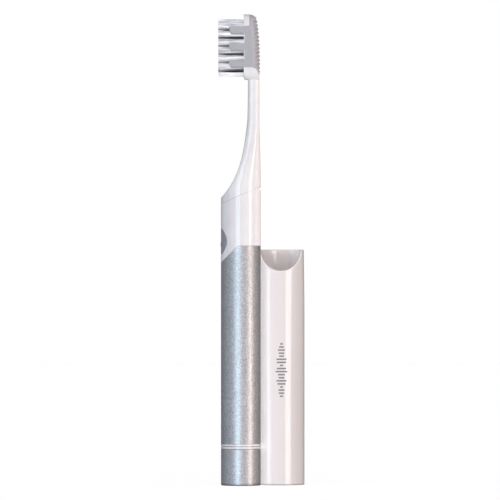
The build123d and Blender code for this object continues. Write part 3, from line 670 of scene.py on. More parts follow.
def makeButton():
    # round key: depth follows the handle's cylinder, its rim is a quarter circle, a small dot stands proud as
    # half a cosine, and the back steps down to a plunger
    button = {"radius": 5.6, "rim": 0.35, "rimStart": 0.94, "dotHeight": 97.2, "dotRadius": 1.15,
              "dotFlat": 0.6, "dotRise": 0.14, "back": 7.0, "plungerEnd": 6.0, "columns": 144}
    turn = np.linspace(0, 2 * math.pi, button["columns"], endpoint=False)
    middle = handle["buttonHeight"]
    easing = np.sin(np.linspace(0.1, 1, 8) * math.pi / 2)
    front = np.concatenate([np.linspace(0.05, 0.9, 30), 0.9 + 0.1 * easing])[:, None]
    y = button["radius"] * front * np.cos(turn)
    z = middle + button["radius"] * front * np.sin(turn)
    drop = np.clip((front - button["rimStart"]) / (1 - button["rimStart"]), 0, 1)
    away = np.hypot(y, z - button["dotHeight"])
    slope = np.clip((away - button["dotFlat"]) / (button["dotRadius"] - button["dotFlat"]), 0, 1)
    dot = button["dotRise"] * (0.5 + 0.5 * np.cos(np.pi * slope))
    x = -np.sqrt(handleRadius ** 2 - y ** 2) + button["rim"] * (1 - np.sqrt(1 - drop ** 2)) - dot
    rows = [np.stack([x, y, z], -1)]
    # (share of the radius, depth): curved while on the back face, level on the plunger
    for share, depth in ((1.0, button["back"]), (0.6, button["back"]), (0.215, button["back"]),
                         (0.21, 6.05), (0.18, button["plungerEnd"])):
        y = button["radius"] * share * np.cos(turn)
        z = middle + button["radius"] * share * np.sin(turn)
        x = -np.sqrt(depth ** 2 - y ** 2) if depth == button["back"] else np.full_like(y, -depth)
        rows.append(np.stack([x, y, z], -1)[None])
    grid = np.concatenate(rows)
    poles = [(0, (-handleRadius, 0, middle)), (-1, (-button["plungerEnd"], 0, middle))]
    points, fans = addPoles(grid, poles)
    makePiece("buttonPad", points, [gridQuads(len(grid), button["columns"])] + fans, "button",
              looks["button"], ["button_key"], sharp=50)


makeSleeve()
makeHousing()
makeRing("sleeveRing", handle["sleeveRingBore"], "handle", "sleeve_trim_ring")
makeRing("capRing", handle["capRingBore"], "end_cap", "cap_trim_ring")
makeButton()
print("handle made")


# end cap, cell, spring and drive post
def makeEndCap():
    # one turned cup: base, outer wall, shoulder under the ring, spigot with its groove, bore, floor
    cup = {"spigot": 6.35, "bore": 5.45, "floor": 1.6, "groove": 5.95, "grooveLow": 19.6, "grooveHigh": 20.4,
           "baseRadius": 5.8, "baseLift": 0.12}
    ringBottom, spigot, slope = nodeBox("cap_trim_ring")[0][2], cup["spigot"], 0.05
    profile = [
        (0, cup["baseLift"]), (cup["baseRadius"], cup["baseLift"]), (cup["baseRadius"] + 0.4, 0.0),
        (handleRadius - 0.02, 0.0), (handleRadius, ringBottom), (spigot, ringBottom),
        (spigot, cup["grooveLow"] - slope), (cup["groove"], cup["grooveLow"]),
        (cup["groove"], cup["grooveHigh"]), (spigot, cup["grooveHigh"] + slope),
        (spigot, endCapTop), (cup["bore"], endCapTop), (cup["bore"], cup["floor"]), (0, cup["floor"]),
    ]
    turnedPiece("endCapShell", softCorners(profile, 0.55, 7), "end_cap", looks["silver"],
                ["end_cap"], columns=handle["columns"])


def makeBattery():
    # turned cell: foot disc, wrapped wall, crimped shoulder and nub
    cell = {"foot": 3.8, "shoulder": 3.4, "nub": 1.9, "nubRise": 0.8, "crimp": 0.15}
    low, high = nodeBox("aaa_battery")
    base, top = low[2] + cell["crimp"], high[2] - cell["nubRise"]
    profile = [(0, base), (cell["foot"] - 0.2, base), (cell["foot"], low[2]), (high[0], low[2]),
               (high[0], top), (cell["shoulder"], top), (cell["shoulder"] - 0.2, top - cell["crimp"]),
               (cell["nub"], top - cell["crimp"]), (cell["nub"], high[2]), (0, high[2])]
    turnedPiece("batteryCell", softCorners(profile, 0.45, 5), "end_cap", looks["cell"],
                ["aaa_battery"])


def makeSpring():
    # wire carried along a helix: the section turns with the path's side and up directions
    spring = {"wire": 0.25, "turns": 4.0, "steps": 220, "sides": 10}
    low, high = nodeBox("battery_spring")
    wire, steps, sides = spring["wire"], spring["steps"], spring["sides"]
    travel = np.linspace(0, 1, steps)
    angle = 2 * math.pi * spring["turns"] * travel
    height = low[2] + wire + (high[2] - low[2] - 2 * wire) * travel
    out = np.stack([np.cos(angle), np.sin(angle), np.zeros(steps)], -1)
    up = np.array([0, 0, 1.0])
    centre = out * (high[0] - wire) + height[:, None] * up
    turn = np.linspace(0, 2 * math.pi, sides, endpoint=False)
    section = np.cos(turn)[None, :, None] * out[:, None] + np.sin(turn)[None, :, None] * up
    grid = centre[:, None] + wire * section
    points, fans = addPoles(grid, [(0, centre[0]), (-1, centre[-1])])
    makePiece("springWire", points, [gridQuads(steps, sides)] + fans, "end_cap",
              looks["contact"], ["battery_spring"])


def makePost():
    # turned pin, its disc, a ribbed rubber collar round it, and the O-ring on the end cap's spigot
    pin = {"radius": 2.2, "tip": 1.5, "tipRise": 0.7, "discRadius": 6.77, "discHeight": 2.0}
    low, high = nodeBox("drive_post")
    sealLow, sealHigh = nodeBox("post_seal")
    x = (sealLow[0] + sealHigh[0]) / 2
    radius, discTop = pin["radius"], low[2] + pin["discHeight"]
    post = [(0, low[2]), (radius, low[2]), (radius, high[2] - pin["tipRise"]), (pin["tip"], high[2]),
            (0, high[2])]
    turnedPiece("postPin", softCorners(post, 0.2), "handle", looks["steel"], ["drive_post"],
                (x, 0), 96)
    disc = [(0, low[2]), (pin["discRadius"], low[2]), (pin["discRadius"], discTop), (0, discTop)]
    turnedPiece("postDisc", softCorners(disc, 0.2), "handle", looks["steel"], (), (0, 0), 128)
    lip, top = sealHigh[0] - x, sealHigh[2]
    seal = [(radius, sealLow[2]), (lip, sealLow[2]), (lip, top - 0.9), (lip - 0.35, top - 0.6),
            (lip, top - 0.35), (lip - 0.3, top), (radius, top), (radius, sealLow[2])]
    turnedPiece("postCollar", softCorners(seal, 0.2)[:-1], "handle", looks["rubber"],
                ["post_seal"], (x, 0), 96)
    ringLow, ringHigh = nodeBox("o_ring")
    thick = (ringHigh[2] - ringLow[2]) / 2
    turn = np.linspace(0, 2 * math.pi, 16, endpoint=False)
    section = np.stack([ringHigh[0] - thick + thick * np.cos(turn),
                        (ringLow[2] + ringHigh[2]) / 2 + thick * np.sin(turn)], -1)
    turnedPiece("sealRing", section, "end_cap", looks["rubber"], ["o_ring"])


makeEndCap()
makeBattery()
makeSpring()
makePost()
print("end cap, cell and post made")

# brush head
head = {
    "fadeStart": 121.0, "fadeEnd": 149.0,      # between these heights the round seam becomes the slim stem
    "stemBack": 7.45, "stemFront": 2.45, "stemHalf": 3.3, "stemTop": 165.8,
    "scoopTop": (2.78, 166.5), "scoopPull": 22.2, "scoopFoot": (-8.0, 116.1), "scoopFootPull": 14.7,
    "scoopAngle": 44.5, "footRound": 0.8,
    "edgeRound": 0.5,        # how softly the scoop's edges turn
    "neckColumns": 288, "neckRows": 170, "seamGap": 0.15, "socketX": 3.4,
    "plateFront": 1.2, "plateHalf": 5.6, "plateBottom": 163.7, "plateRound": 0.9,
    "fullWidth": 168.9, "cornerWidth": 2.65, "cornerHeight": 4.9, "middle": 176.5,
    "softFront": 1.45, "softTopFront": 3.4, "softTopStart": 185.3, "softStart": 168.5, "softArc": 2.7,
    "ridgePitch": 1.56, "ridgeTop": 189.2, "ridgeHeight": 0.5, "ridgeFall": 2.2, "ridgeCount": 15,
}


def scoopDepth(z):
    # the scoop's long curve is a cubic Bezier; its x is read off at each height
    angle = math.radians(head["scoopAngle"])
    top, foot = np.array(head["scoopTop"]), np.array(head["scoopFoot"])
    along = np.array([math.sin(angle), math.cos(angle)])
    t = np.linspace(0, 1, 600)[:, None]
    curve = ((1 - t) ** 3 * top + 3 * (1 - t) ** 2 * t * (top - np.array([0, head["scoopPull"]]))
             + 3 * (1 - t) * t ** 2 * (foot + along * head["scoopFootPull"]) + t ** 3 * foot)
    below = foot[0] + (z - foot[1]) * math.tan(angle)
    return np.where(z < foot[1], below, np.interp(z, curve[::-1, 1], curve[::-1, 0]))


def neckPoint(z, turn):
    # superellipse section that fades from the round seam to the slim stem, flattened in front by the scoop
    progress = np.clip((z - head["fadeStart"]) / (head["fadeEnd"] - head["fadeStart"]), 0, 1)
    fade = 0.5 + 0.5 * np.cos(math.pi * progress)
    back = head["stemBack"] + (handleRadius - head["stemBack"]) * fade
    front = -handleRadius + (handleRadius + head["stemFront"]) * (1 - fade) ** 0.6
    half = head["stemHalf"] + (handleRadius - head["stemHalf"]) * fade
    power = 2 / (2 + 0.8 * (1 - fade))
    along = np.sign(np.cos(turn)) * np.abs(np.cos(turn)) ** power
    across = np.sign(np.sin(turn)) * np.abs(np.sin(turn)) ** power
    x = (front + back) / 2 + (back - front) / 2 * along
    cut = scoopDepth(z)
    gap = x - cut
    x = cut + 0.5 * (gap + np.sqrt(gap ** 2 + head["edgeRound"] ** 2 * np.clip((z - 115.5) / 3, 0, 1)))
    return np.stack([x, half * across, z], -1)


def makeNeck():
    # rows start on the slanted seam and grow level towards the stem; the socket is carried in from below
    columns, top = head["neckColumns"], head["stemTop"] + 1.5
    turn = np.linspace(0, 2 * math.pi, columns, endpoint=False)
    atRim = handleRadius * np.cos(turn)
    seam = seamHeightAt(atRim) + head["seamGap"] - handle["seamClosed"] * (1 - seamShare(atRim))
    share = np.linspace(0, 1, head["neckRows"])[:, None] ** 1.15
    z = seam + (top - seam) * share
    skin = neckPoint(z, np.broadcast_to(turn, z.shape))
    rim = (skin[0] * [0.985, 0.985, 1.0])[None]
    skin[0, :, 2] += 0.03
    socket = []
    # (radius, height) up the socket's steps; the first lies on the seam's slope
    for radius, height in ((3.55, None), (3.55, 122.0), (2.9, 122.0), (2.9, 129.0), (2.55, 129.0), (2.55, 131.6)):
        x, y = head["socketX"] + radius * np.cos(turn), radius * np.sin(turn)
        level = seamHeightAt(x) + head["seamGap"] if height is None else np.full(columns, height)
        socket.append(np.stack([x, y, level], -1))
    grid = np.concatenate([np.stack(socket[::-1]), rim, skin])
    points, fans = addPoles(grid, [(0, (head["socketX"], 0, height)), (-1, (5.0, 0, top))])
    makePiece("headNeckSkin", points, [gridQuads(len(grid), columns)] + fans, "brush_head",
              looks["headWhite"], ["head_neck"], sharp=32)


def headOutline():
    # front outline of the head as (y, z): flat top, elliptical corners, straight sides, a Bezier taper to the
    # stem; the left half mirrors the right
    half, corner, bottom = head["plateHalf"], head["cornerWidth"], head["plateBottom"]
    footHalf, sideTop = head["stemHalf"] - 0.3, headTop - head["cornerHeight"]
    t = np.linspace(0, 1, 30)[:, None]
    p0, p1 = np.array([footHalf, bottom]), np.array([footHalf + 1.4, bottom + 0.4])
    p2, p3 = np.array([half, bottom + 2.3]), np.array([half, head["fullWidth"]])
    taper = (1 - t) ** 3 * p0 + 3 * (1 - t) ** 2 * t * p1 + 3 * (1 - t) * t ** 2 * p2 + t ** 3 * p3
    sideHeights = np.linspace(head["fullWidth"], sideTop, 180)[1:]
    side = np.stack([np.full_like(sideHeights, half), sideHeights], -1)
    quarter = np.linspace(0, math.pi / 2, 36)[1:]
    ellipse = np.stack([half - corner + corner * np.cos(quarter),
                        sideTop + head["cornerHeight"] * np.sin(quarter)], -1)
    flat = np.stack([np.linspace(half - corner, 0, 12)[1:], np.full(11, headTop)], -1)
    foot = np.stack([np.linspace(0, footHalf, 8)[:-1], np.full(7, bottom)], -1)
    right = np.concatenate([foot, taper, side, ellipse, flat])
    left = (right * [-1, 1])[::-1][1:-1]
    return np.concatenate([right, left])


def softEdgeDepth(z):
    # x at which the soft back starts, as the height runs: a round sweep, the flange, then the deeper top block
    arc = head["softStart"] - head["softArc"]
    sweep = 4.3 + np.sqrt(np.maximum(0, head["softArc"] ** 2 - (z - arc) ** 2))
    low = np.where(z < arc, 7.42, sweep)
    flange = np.where(z < head["softStart"], low, head["softFront"])
    return np.where(z > head["softTopStart"], head["softTopFront"], flange)


def crestDepth(z):
    # side profile of the back, straight between heights: level shoulder, then a long shallow arc
    heights = [163.7, 164.8, 166.8, 171.6, 177.2, 180.5, 183.7, 186.9, 188.5, 189.2, 189.6, 189.9]
    depths = [7.45, 7.48, 7.78, 7.74, 7.58, 7.42, 7.15, 6.7, 6.38, 5.7, 5.0, 3.95]
    return np.interp(z, heights, depths)


def withSteps(outline):
    # adds close pairs of points where the soft back's edge jumps, so the jump stays crisp: each pair lies
    # 0.01 mm below and above the jump on the side that crosses it, in order of travel
    ahead = np.roll(outline, -1, 0)
    order, points = [np.arange(len(outline))], [outline]
    for level in (head["softStart"], head["softTopStart"]):
        crossed = np.flatnonzero((outline[:, 1] - level) * (ahead[:, 1] - level) < 0)
        here, there = outline[crossed], ahead[crossed]
        rise = there[:, 1] - here[:, 1]
        for shift in (-0.01, 0.01):
            share = (level + shift * np.sign(rise) - here[:, 1]) / rise
            order.append(crossed + 0.5 + shift)
            points.append(here + (there - here) * share[:, None])
    return np.concatenate(points)[np.argsort(np.concatenate(order), kind="stable")]


def outlineRow(outline, x, drawnIn):
    # one row of points round the outline at depth x, drawn in towards the middle line
    middle = np.stack([np.zeros(len(outline)), np.clip(outline[:, 1], 169.5, 184.0)], -1)
    inward = middle - outline
    inward /= np.maximum(np.linalg.norm(inward, axis=1, keepdims=True), 1e-6)
    moved = outline + inward * drawnIn
    return np.stack([np.broadcast_to(x, len(outline)), moved[:, 0], moved[:, 1]], -1)


def makePlate():
    # white plate: rounded front edge, flange, deep top block and collar, closed inside the soft back;
    # near the foot the edge is drawn in by a quarter circle
    outline = withSteps(headOutline())
    edge = softEdgeDepth(outline[:, 1])
    front, deep = head["plateFront"], head["plateRound"]
    footRound = head["footRound"] * np.clip((167.0 - outline[:, 1:]) / 3, 0, 1)
    # (depth behind the front, drawn in, share of the foot's rounding)
    rims = ((0.0, 0.9, 1.0), (0.0, 0.5, 1.0), (0.0, 0.2, 1.0), (0.03, 0.08, 0.8), (0.1, 0.01, 0.5))
    rows = [outlineRow(outline, front + depth, inward + footRound * share) for depth, inward, share in rims]
    for depth in (0.2, 0.3, 0.45, 0.6, 0.75, deep):
        rest = 1 - np.sqrt(1 - (1 - depth / deep) ** 2)
        away = np.minimum(front + depth, edge - 0.02 - 0.01 * (deep - depth))
        rows.append(outlineRow(outline, away, footRound * rest))
    away = np.minimum(front + deep, edge - 0.02)
    rows += [outlineRow(outline, away + (edge - away) * share, 0.0) for share in np.linspace(0, 1, 6)[1:]]
    rows.append(outlineRow(outline, edge, 1.2))
    grid = np.stack(rows)
    points, fans = addPoles(grid, [(0, (front, 0, head["middle"])), (-1, (3.0, 0, head["middle"]))])
    makePiece("headPlate", points, [gridQuads(len(grid), len(outline))] + fans, "brush_head",
              looks["headWhite"], ["head_neck"], sharp=30)


def ridgedDepth(points):
    # depth of the soft back at (y, z): the crest's profile, rounded off sideways by a parabola and an ellipse,
    # less a clipped cosine wave whose phase falls towards the sides and which fades out at both ends
    y, z = np.abs(points[:, 0]), points[:, 1]
    shoulder = np.clip((y - 2.2) / 3.5, 0, 1)
    crest = crestDepth(z) - 0.07 * y ** 2 - 1.0 * (1 - np.sqrt(np.maximum(0, 1 - shoulder ** 2)))
    phase = (head["ridgeTop"] - z - head["ridgeFall"] * (y / 6) ** 1.7) / head["ridgePitch"]
    wave = np.clip(1.8 * np.cos(2 * math.pi * (phase - 0.27)) + 0.2, -1, 1) * 0.5 + 0.5
    ridged = np.clip(phase * 4, 0, 1) * np.clip((head["ridgeCount"] - phase) * 4, 0, 1)
    ridged = ridged * np.clip((4.7 - y) / 0.9, 0, 1)
    return crest - head["ridgeHeight"] * (1 - wave) * ridged


def makeSoftBack():
    # soft back: side walls up from the plate's edge, then rows that shrink towards the middle line
    outline = withSteps(headOutline())
    lowest = head["softStart"] - head["softArc"]
    keep = outline[:, 1] >= lowest - 0.6
    outline[:, 1] = np.where(keep, outline[:, 1], np.maximum(outline[:, 1], lowest))
    edge = np.minimum(softEdgeDepth(outline[:, 1]), 7.0) + 0.005
    rows = [outlineRow(outline, edge, 1.6), outlineRow(outline, edge, 0.0)]
    wallTop = np.maximum(ridgedDepth(outline), edge + 0.2)
    for share in np.linspace(0.08, 1, 10):
        rows.append(outlineRow(outline, edge + (wallTop - edge) * share, 0.0))
    middle = np.stack([np.zeros(len(outline)), np.clip(outline[:, 1], 168.5, 186.5)], -1)
    for share in np.linspace(0, 1, 72)[1:]:
        flat = outline + (middle - outline) * min(share, 0.995)
        rows.append(np.stack([np.maximum(ridgedDepth(flat), edge + 0.2), flat[:, 0], flat[:, 1]], -1))
    grid = np.stack(rows)
    points, fans = addPoles(grid, [(0, (4.0, 0, head["middle"]))])
    # the last row lies close to the middle line from both sides, so its two halves are zipped together
    columns = len(outline)
    last = (len(grid) - 1) * columns
    right = last + np.arange(1, columns // 2)
    left = last + columns - np.arange(1, columns // 2)
    zipped = np.stack([right[:-1], right[1:], left[1:], left[:-1]], 1)
    ends = np.array([[last, right[0], left[0]], [last + columns // 2, left[-1], right[-1]]])
    faces = [gridQuads(len(grid), columns)] + fans + [zipped, ends]
    makePiece("softBack", points, faces, "brush_head", looks["soft"], ["head_overmould"], sharp=60)


def makeFins():
    # six bars: a seven-sided section carried from root to tip, where the tip's x slants back as z falls
    fin = {"inner": 4.0, "outer": 5.75, "tip": -4.65, "slant": 0.7, "slantFrom": 0.35, "root": 1.95,
           "top": 185.0, "pitch": 6.8, "height": 3.25, "bevel": 0.8, "soft": 0.28}
    waist = fin["slantFrom"] * fin["height"]
    inner, outer, height, bevel = fin["inner"], fin["outer"], fin["height"], fin["bevel"]
    section = np.array([(inner, 0), (outer, 0), (outer, waist), (outer, height - bevel),
                        (outer - bevel, height), (inner, height), (inner, waist)])
    count = len(section)
    row, side, end, corner = np.meshgrid(np.arange(3), (-1, 1), (0, 1), np.arange(count), indexing="ij")
    drop = section[corner, 1]
    slant = fin["slant"] * np.maximum(0, drop - waist) / (height - waist)
    x = np.where(end == 0, fin["root"], fin["tip"] + slant)
    z = fin["top"] - row * fin["pitch"] - drop
    points = np.stack([x, side * section[corner, 0], z], -1).reshape(-1, 3)
    start = np.arange(6)[:, None] * 2 * count
    ring = np.arange(count)
    ahead = (ring + 1) % count
    walls = (start[..., None] + np.stack([ring, ahead, ahead + count, ring + count], -1)).reshape(-1, 4)
    roots, tips = start + ring[::-1], start + count + ring
    mirrored = np.arange(6) % 2 == 0           # sides at -y run the other way round
    walls = np.where(np.repeat(mirrored, count)[:, None], walls, walls[:, ::-1])
    roots = np.where(mirrored[:, None], roots, roots[:, ::-1])
    tips = np.where(mirrored[:, None], tips, tips[:, ::-1])
    piece = makePiece("sideFins", points, [walls, roots, tips], "brush_head", looks["soft"],
                      ["head_overmould"])
    soften = piece.modifiers.new("softEdges", "BEVEL")
    soften.width, soften.segments, soften.limit_method = fin["soft"] * mm, 4, "ANGLE"
    applyModifiers(piece)


def tuftPlan():
    # (y, z, width, height, is centre) of every tuft: a centre row and side pairs at one pitch
    tuft = {"rows": 7, "pitch": 3.3, "sideDrop": 4.4, "centreDrop": 2.7, "sideShift": 2.55, "lastShift": 1.85,
            "side": (2.2, 2.5), "last": (2.2, 1.7), "wide": (2.7, 1.75), "narrow": (1.95, 2.5)}
    plan = []
    for row in range(tuft["rows"]):
        isLast, down = row == tuft["rows"] - 1, tuft["pitch"] * row
        shift = tuft["lastShift"] if isLast else tuft["sideShift"]
        for side in (-1, 1):
            size = tuft["last"] if isLast else tuft["side"]
            plan.append((side * shift, headTop - tuft["sideDrop"] - down, *size, False))
        size = tuft["wide"] if row % 2 == 0 else tuft["narrow"]
        plan.append((0, headTop - tuft["centreDrop"] - down, *size, row > 0))
    return plan


bristle = {"pitch": 0.30, "jitter": 0.05, "radius": 0.085, "root": 1.9, "steps": 4, "sides": 5, "splay": 0.09,
           "lean": 0.035, "ragged": 0.16}


def tuftRoots(y, z, width, height):
    # a lattice inside a rounded square |y|^4 + |z|^4 < 0.95, shaken a little; rows of (tuft y, z, own y, z)
    gy, gz = np.meshgrid(np.arange(-width / 2 + 0.12, width / 2 - 0.05, bristle["pitch"]),
                         np.arange(-height / 2 + 0.12, height / 2 - 0.05, bristle["pitch"]))
    gy, gz = gy.ravel(), gz.ravel()
    keep = (np.abs(gy) / (width / 2)) ** 4 + (np.abs(gz) / (height / 2)) ** 4 < 0.95
    gy, gz = gy[keep], gz[keep]
    jitter = rng.uniform(-bristle["jitter"], bristle["jitter"], (len(gy), 2))
    return np.stack([np.full(len(gy), y), np.full(len(gy), z), gy + jitter[:, 0], gz + jitter[:, 1]], -1)


def makeBristles(name, isCentre, look, node):
    # filaments are five-sided tapering prisms that splay from their tuft's middle and lean as travel squared
    roots = np.concatenate([tuftRoots(*tuft[:4]) for tuft in tuftPlan() if tuft[4] == isCentre])
    count, steps, sides = len(roots), bristle["steps"], bristle["sides"]
    travel = np.linspace(0, 1, steps)
    ends = tuftLow[0] + rng.uniform(0.0, bristle["ragged"], count)
    x = bristle["root"] + (ends[:, None] - bristle["root"]) * travel
    lean = rng.normal(0, bristle["lean"], (count, 2))
    grow = 0.86 + (0.14 + bristle["splay"]) * travel ** 1.5
    y = roots[:, :1] + roots[:, 2:3] * grow + lean[:, :1] * travel ** 2
    z = roots[:, 1:2] + roots[:, 3:4] * grow + lean[:, 1:] * travel ** 2
    z = np.clip(z, tuftLow[2] + 0.1, tuftHigh[2] - 0.1)
    turn = np.linspace(0, 2 * math.pi, sides, endpoint=False)
    thin = bristle["radius"] * np.where(travel > 0.99, 0.6, 1.0)
    around = np.stack([np.zeros(sides), np.cos(turn), np.sin(turn)], -1)
    line = np.stack([x, y, z], -1)
    tube = line[:, :, None] + thin[None, :, None, None] * around[None, None]
    points = np.concatenate([tube.reshape(-1, 3), line[:, -1], line[:, 0]])
    each = steps * sides
    start, ring = np.arange(count)[:, None] * each, np.arange(sides)
    ahead = (ring + 1) % sides
    quads = (gridQuads(steps, sides)[None] + start[:, :, None]).reshape(-1, 4)
    tips = np.broadcast_to(count * each + np.arange(count)[:, None], (count, sides))
    lastRing = start + (steps - 1) * sides
    tipFan = np.stack([lastRing + ahead, tips, lastRing + ring], -1).reshape(-1, 3)
    rootFan = np.stack([tips + count, start + ahead, start + ring], -1).reshape(-1, 3)
    makePiece(name, points, [quads, tipFan, rootFan], "brush_head", looks[look], [node], sharp=60)
    print(name, count, "filaments")


makeNeck()
makePlate()
makeSoftBack()
makeFins()
makeBristles("outerBristles", False, "bristleWhite", "outer_tufts")
makeBristles("centreBristles", True, "bristleBlack", "centre_tufts")
print("brush head made")

# travel cap
cap = {
    "centre": ((capLow[0] + capHigh[0]) / 2, 9.8), "mouthRadius": 9.3, "bodyRadius": 9.58,
    "bulge": 1.6, "tuck": 0.7, "tuckHeight": 12.0, "narrowFrom": 70.0,
    "wall": 0.95, "base": 1.5, "scoop": 8.46, "rimRound": 0.4, "rows": 110, "innerRows": 50,
}


def capPoint(turn, height, thickness):
    # round section that narrows towards the mouth as a power of the height, bulges forward over the bristles
    # along a smooth step, and tucks in at the foot by a parabola
    top, body = capHigh[2], cap["bodyRadius"]
    narrowing = np.maximum(0.0, (height - cap["narrowFrom"]) / (top - cap["narrowFrom"])) ** 1.5
    radius = body - (body - cap["mouthRadius"]) * narrowing - thickness
    rise = np.clip((top - 6 - height) / 60.0, 0, 1)
    tuck = cap["tuck"] * np.maximum(0.0, 1 - height / cap["tuckHeight"]) ** 2
    forward = cap["bulge"] * rise * rise * (3 - 2 * rise) - tuck
    facing = ((1 - np.sin(turn)) / 2) ** 1.5
    x = cap["centre"][0] + radius * np.cos(turn)
    y = cap["centre"][1] + radius * np.sin(turn) - forward * facing
    return np.stack([x, y, np.broadcast_to(height, x.shape)], -1)


def capColumns():
    # columns are spaced evenly along the scoop's arc in front and evenly round the back
    reach = math.acos(cap["scoop"] / cap["mouthRadius"])
    along = np.linspace(0, math.pi, 190)
    front = -np.arccos(cap["scoop"] * np.cos(along) / (cap["mouthRadius"] + 0.01))
    horn = np.linspace(0, reach, 18)[1:-1]
    back = np.linspace(0, math.pi, 130)
    return np.concatenate([back, math.pi + horn, front[::-1] + 2 * math.pi, 2 * math.pi - horn[::-1]])


def capRim(turn, thickness):
    # rim height: level behind, a circular scoop in front
    across = (cap["mouthRadius"] - thickness) * np.cos(turn)
    depth = np.sqrt(np.maximum(0, cap["scoop"] ** 2 - across ** 2))
    return capHigh[2] - np.where(np.sin(turn) < 0, depth, 0.0)


def makeCap():
    # outside from the foot up, over the rim, down the inside to the floor; heights run straight between
    # the foot and the rim
    turn = capColumns()
    wall, rimIn, floor = cap["wall"], cap["rimRound"], cap["base"]
    outerRim, innerRim = capRim(turn, 0), capRim(turn, wall)
    # (height, thickness) of the rounded foot
    rows = [capPoint(turn, height, inward)
            for height, inward in ((0.0, 2.2), (0.0, 0.35), (0.06, 0.12), (0.22, 0.02))]
    start = 0.4
    for share in np.linspace(0, 1, cap["rows"]):
        rows.append(capPoint(turn, start + (outerRim - rimIn - start) * share, 0.0))
    rows += [
        capPoint(turn, outerRim - rimIn * 0.3, rimIn * 0.3),
        capPoint(turn, outerRim, rimIn),
        capPoint(turn, innerRim, wall - rimIn),
        capPoint(turn, innerRim - rimIn * 0.3, wall - rimIn * 0.3),
    ]
    for share in np.linspace(0, 1, cap["innerRows"]):
        rows.append(capPoint(turn, innerRim - rimIn - (innerRim - rimIn - floor - 1.2) * share, wall))
    rows += [capPoint(turn, floor + 0.35, wall + 0.35), capPoint(turn, floor, wall + 1.2)]
    grid = np.stack(rows)
    points, fans = addPoles(grid, [(0, (*cap["centre"], 0.0)), (-1, (*cap["centre"], floor))])
    makePiece("capShell", points, [gridQuads(len(grid), len(turn))] + fans, "travel_cap",
              looks["pearl"], ["travel_cap"], sharp=50)


def barPoints(bar, mark):
    # one bar's front and back grids on the cap's skin; its length follows two sines, as a sound wave's would
    swing = abs(math.sin(0.9 * bar + 0.5)) * math.sin(math.pi * (bar + 1) / (mark["bars"] + 1))
    half = mark["shortest"] + mark["swing"] * swing
    z = mark["low"] + bar * mark["pitch"] + np.array([-0.5, -0.3, 0.3, 0.5]) * mark["thick"]
    gx, gz = np.meshgrid(half * np.linspace(-1, 1, mark["cells"]), z)
    gx[[0, -1]] *= 0.93      # rounds the bar's ends
    gx += mark["centre"]
    turn = -np.arccos((gx - cap["centre"][0]) / cap["bodyRadius"])
    return np.stack([capPoint(turn, gz, -mark["lift"]), capPoint(turn, gz, mark["sunk"])])


def makePrint():
    # printed mark: a column of plain bars of changing length laid on the cap's front, each a closed slab
    mark = {"low": 36.0, "pitch": 1.24, "bars": 18, "thick": 0.62, "lift": 0.02, "sunk": 0.15,
            "centre": 16.4, "cells": 14, "shortest": 0.5, "swing": 1.9}
    slabs = np.stack([barPoints(bar, mark) for bar in range(mark["bars"])])
    rows, columns = slabs.shape[2:4]
    size = rows * columns
    front = gridQuads(rows, columns, around=False)
    rim = np.concatenate([
        np.arange(columns), np.arange(1, rows) * columns + columns - 1,
        (rows - 1) * columns + np.arange(columns - 2, -1, -1), np.arange(rows - 2, 0, -1) * columns,
    ])
    ahead = np.roll(rim, -1)
    wall = np.stack([rim, rim + size, ahead + size, ahead], 1)
    slab = np.concatenate([front, front[:, ::-1] + size, wall])
    faces = (slab[None] + np.arange(mark["bars"])[:, None, None] * 2 * size).reshape(-1, 4)
    makePiece("capPrint", slabs.reshape(-1, 3), [faces], "travel_cap", looks["print"], sharp=40)


makeCap()
makePrint()
print("travel cap made")

# camera, light and floor
view = {"lens": 500.0, "sensor": 36.0, "width": 201.72, "x": 3.71, "z": 94.96}


def makeCamera():
    # straight from the front, at lens x width / sensor, where the picture takes in the view's width
    data = bpy.data.cameras.new("camera")
    data.lens, data.sensor_width, data.clip_end = view["lens"], view["sensor"], 100.0
    camera = bpy.data.objects.new("camera", data)
    distance = view["lens"] * view["width"] / view["sensor"]
    camera.location = (view["x"] * mm, -distance * mm, view["z"] * mm)
    camera.rotation_euler = (math.pi / 2, 0, 0)
    bpy.context.scene.collection.objects.link(camera)
    bpy.context.scene.camera = camera


def addLight(name, azimuth, width, radiance, colour, lit, glossy, height=1.6, lift=0):
    # area light 1.2 m away, at an angle from the camera's direction, positive to the right, aimed at the
    # brush; power is radiance times area times pi; it serves either reflections or soft shading
    data = bpy.data.lights.new(name, "AREA")
    data.shape, data.size, data.size_y, data.color = "RECTANGLE", width, height, colour
    data.energy = math.pi * width * height * radiance
    light = bpy.data.objects.new(name, data)
    angle, rise = math.radians(azimuth), math.radians(lift)
    away, aim = 1.2, 0.1
    flat = away * math.cos(rise)
    light.location = (math.sin(angle) * flat, -math.cos(angle) * flat, aim + away * math.sin(rise))
    light.rotation_euler = (math.pi / 2 - rise, 0, angle)
    light.visible_glossy, light.visible_diffuse, light.visible_transmission = glossy, not glossy, not glossy
    light.light_linking.receiver_collection = lit
    light.light_linking.blocker_collection = lit
    bpy.context.scene.collection.objects.link(light)


def lightGroups():
    # the cap and the brush have lights of their own, and so have the glossy mouldings
    groups = [bpy.data.collections.new(name) for name in ("capLit", "brushLit", "glossLit")]
    capPieces = ("capShell", "capPrint", "travel_cap")
    for thing in bpy.data.objects:
        if thing.type == "MESH" and thing.name != "floor":
            groups[0 if thing.name in capPieces else 1].objects.link(thing)
        if thing.name in ("neckShell", "headNeckSkin", "headPlate"):
            groups[2].objects.link(thing)
    bpy.data.objects["capShell"].visible_glossy = False      # keeps it out of the sleeve's reflections
    return groups


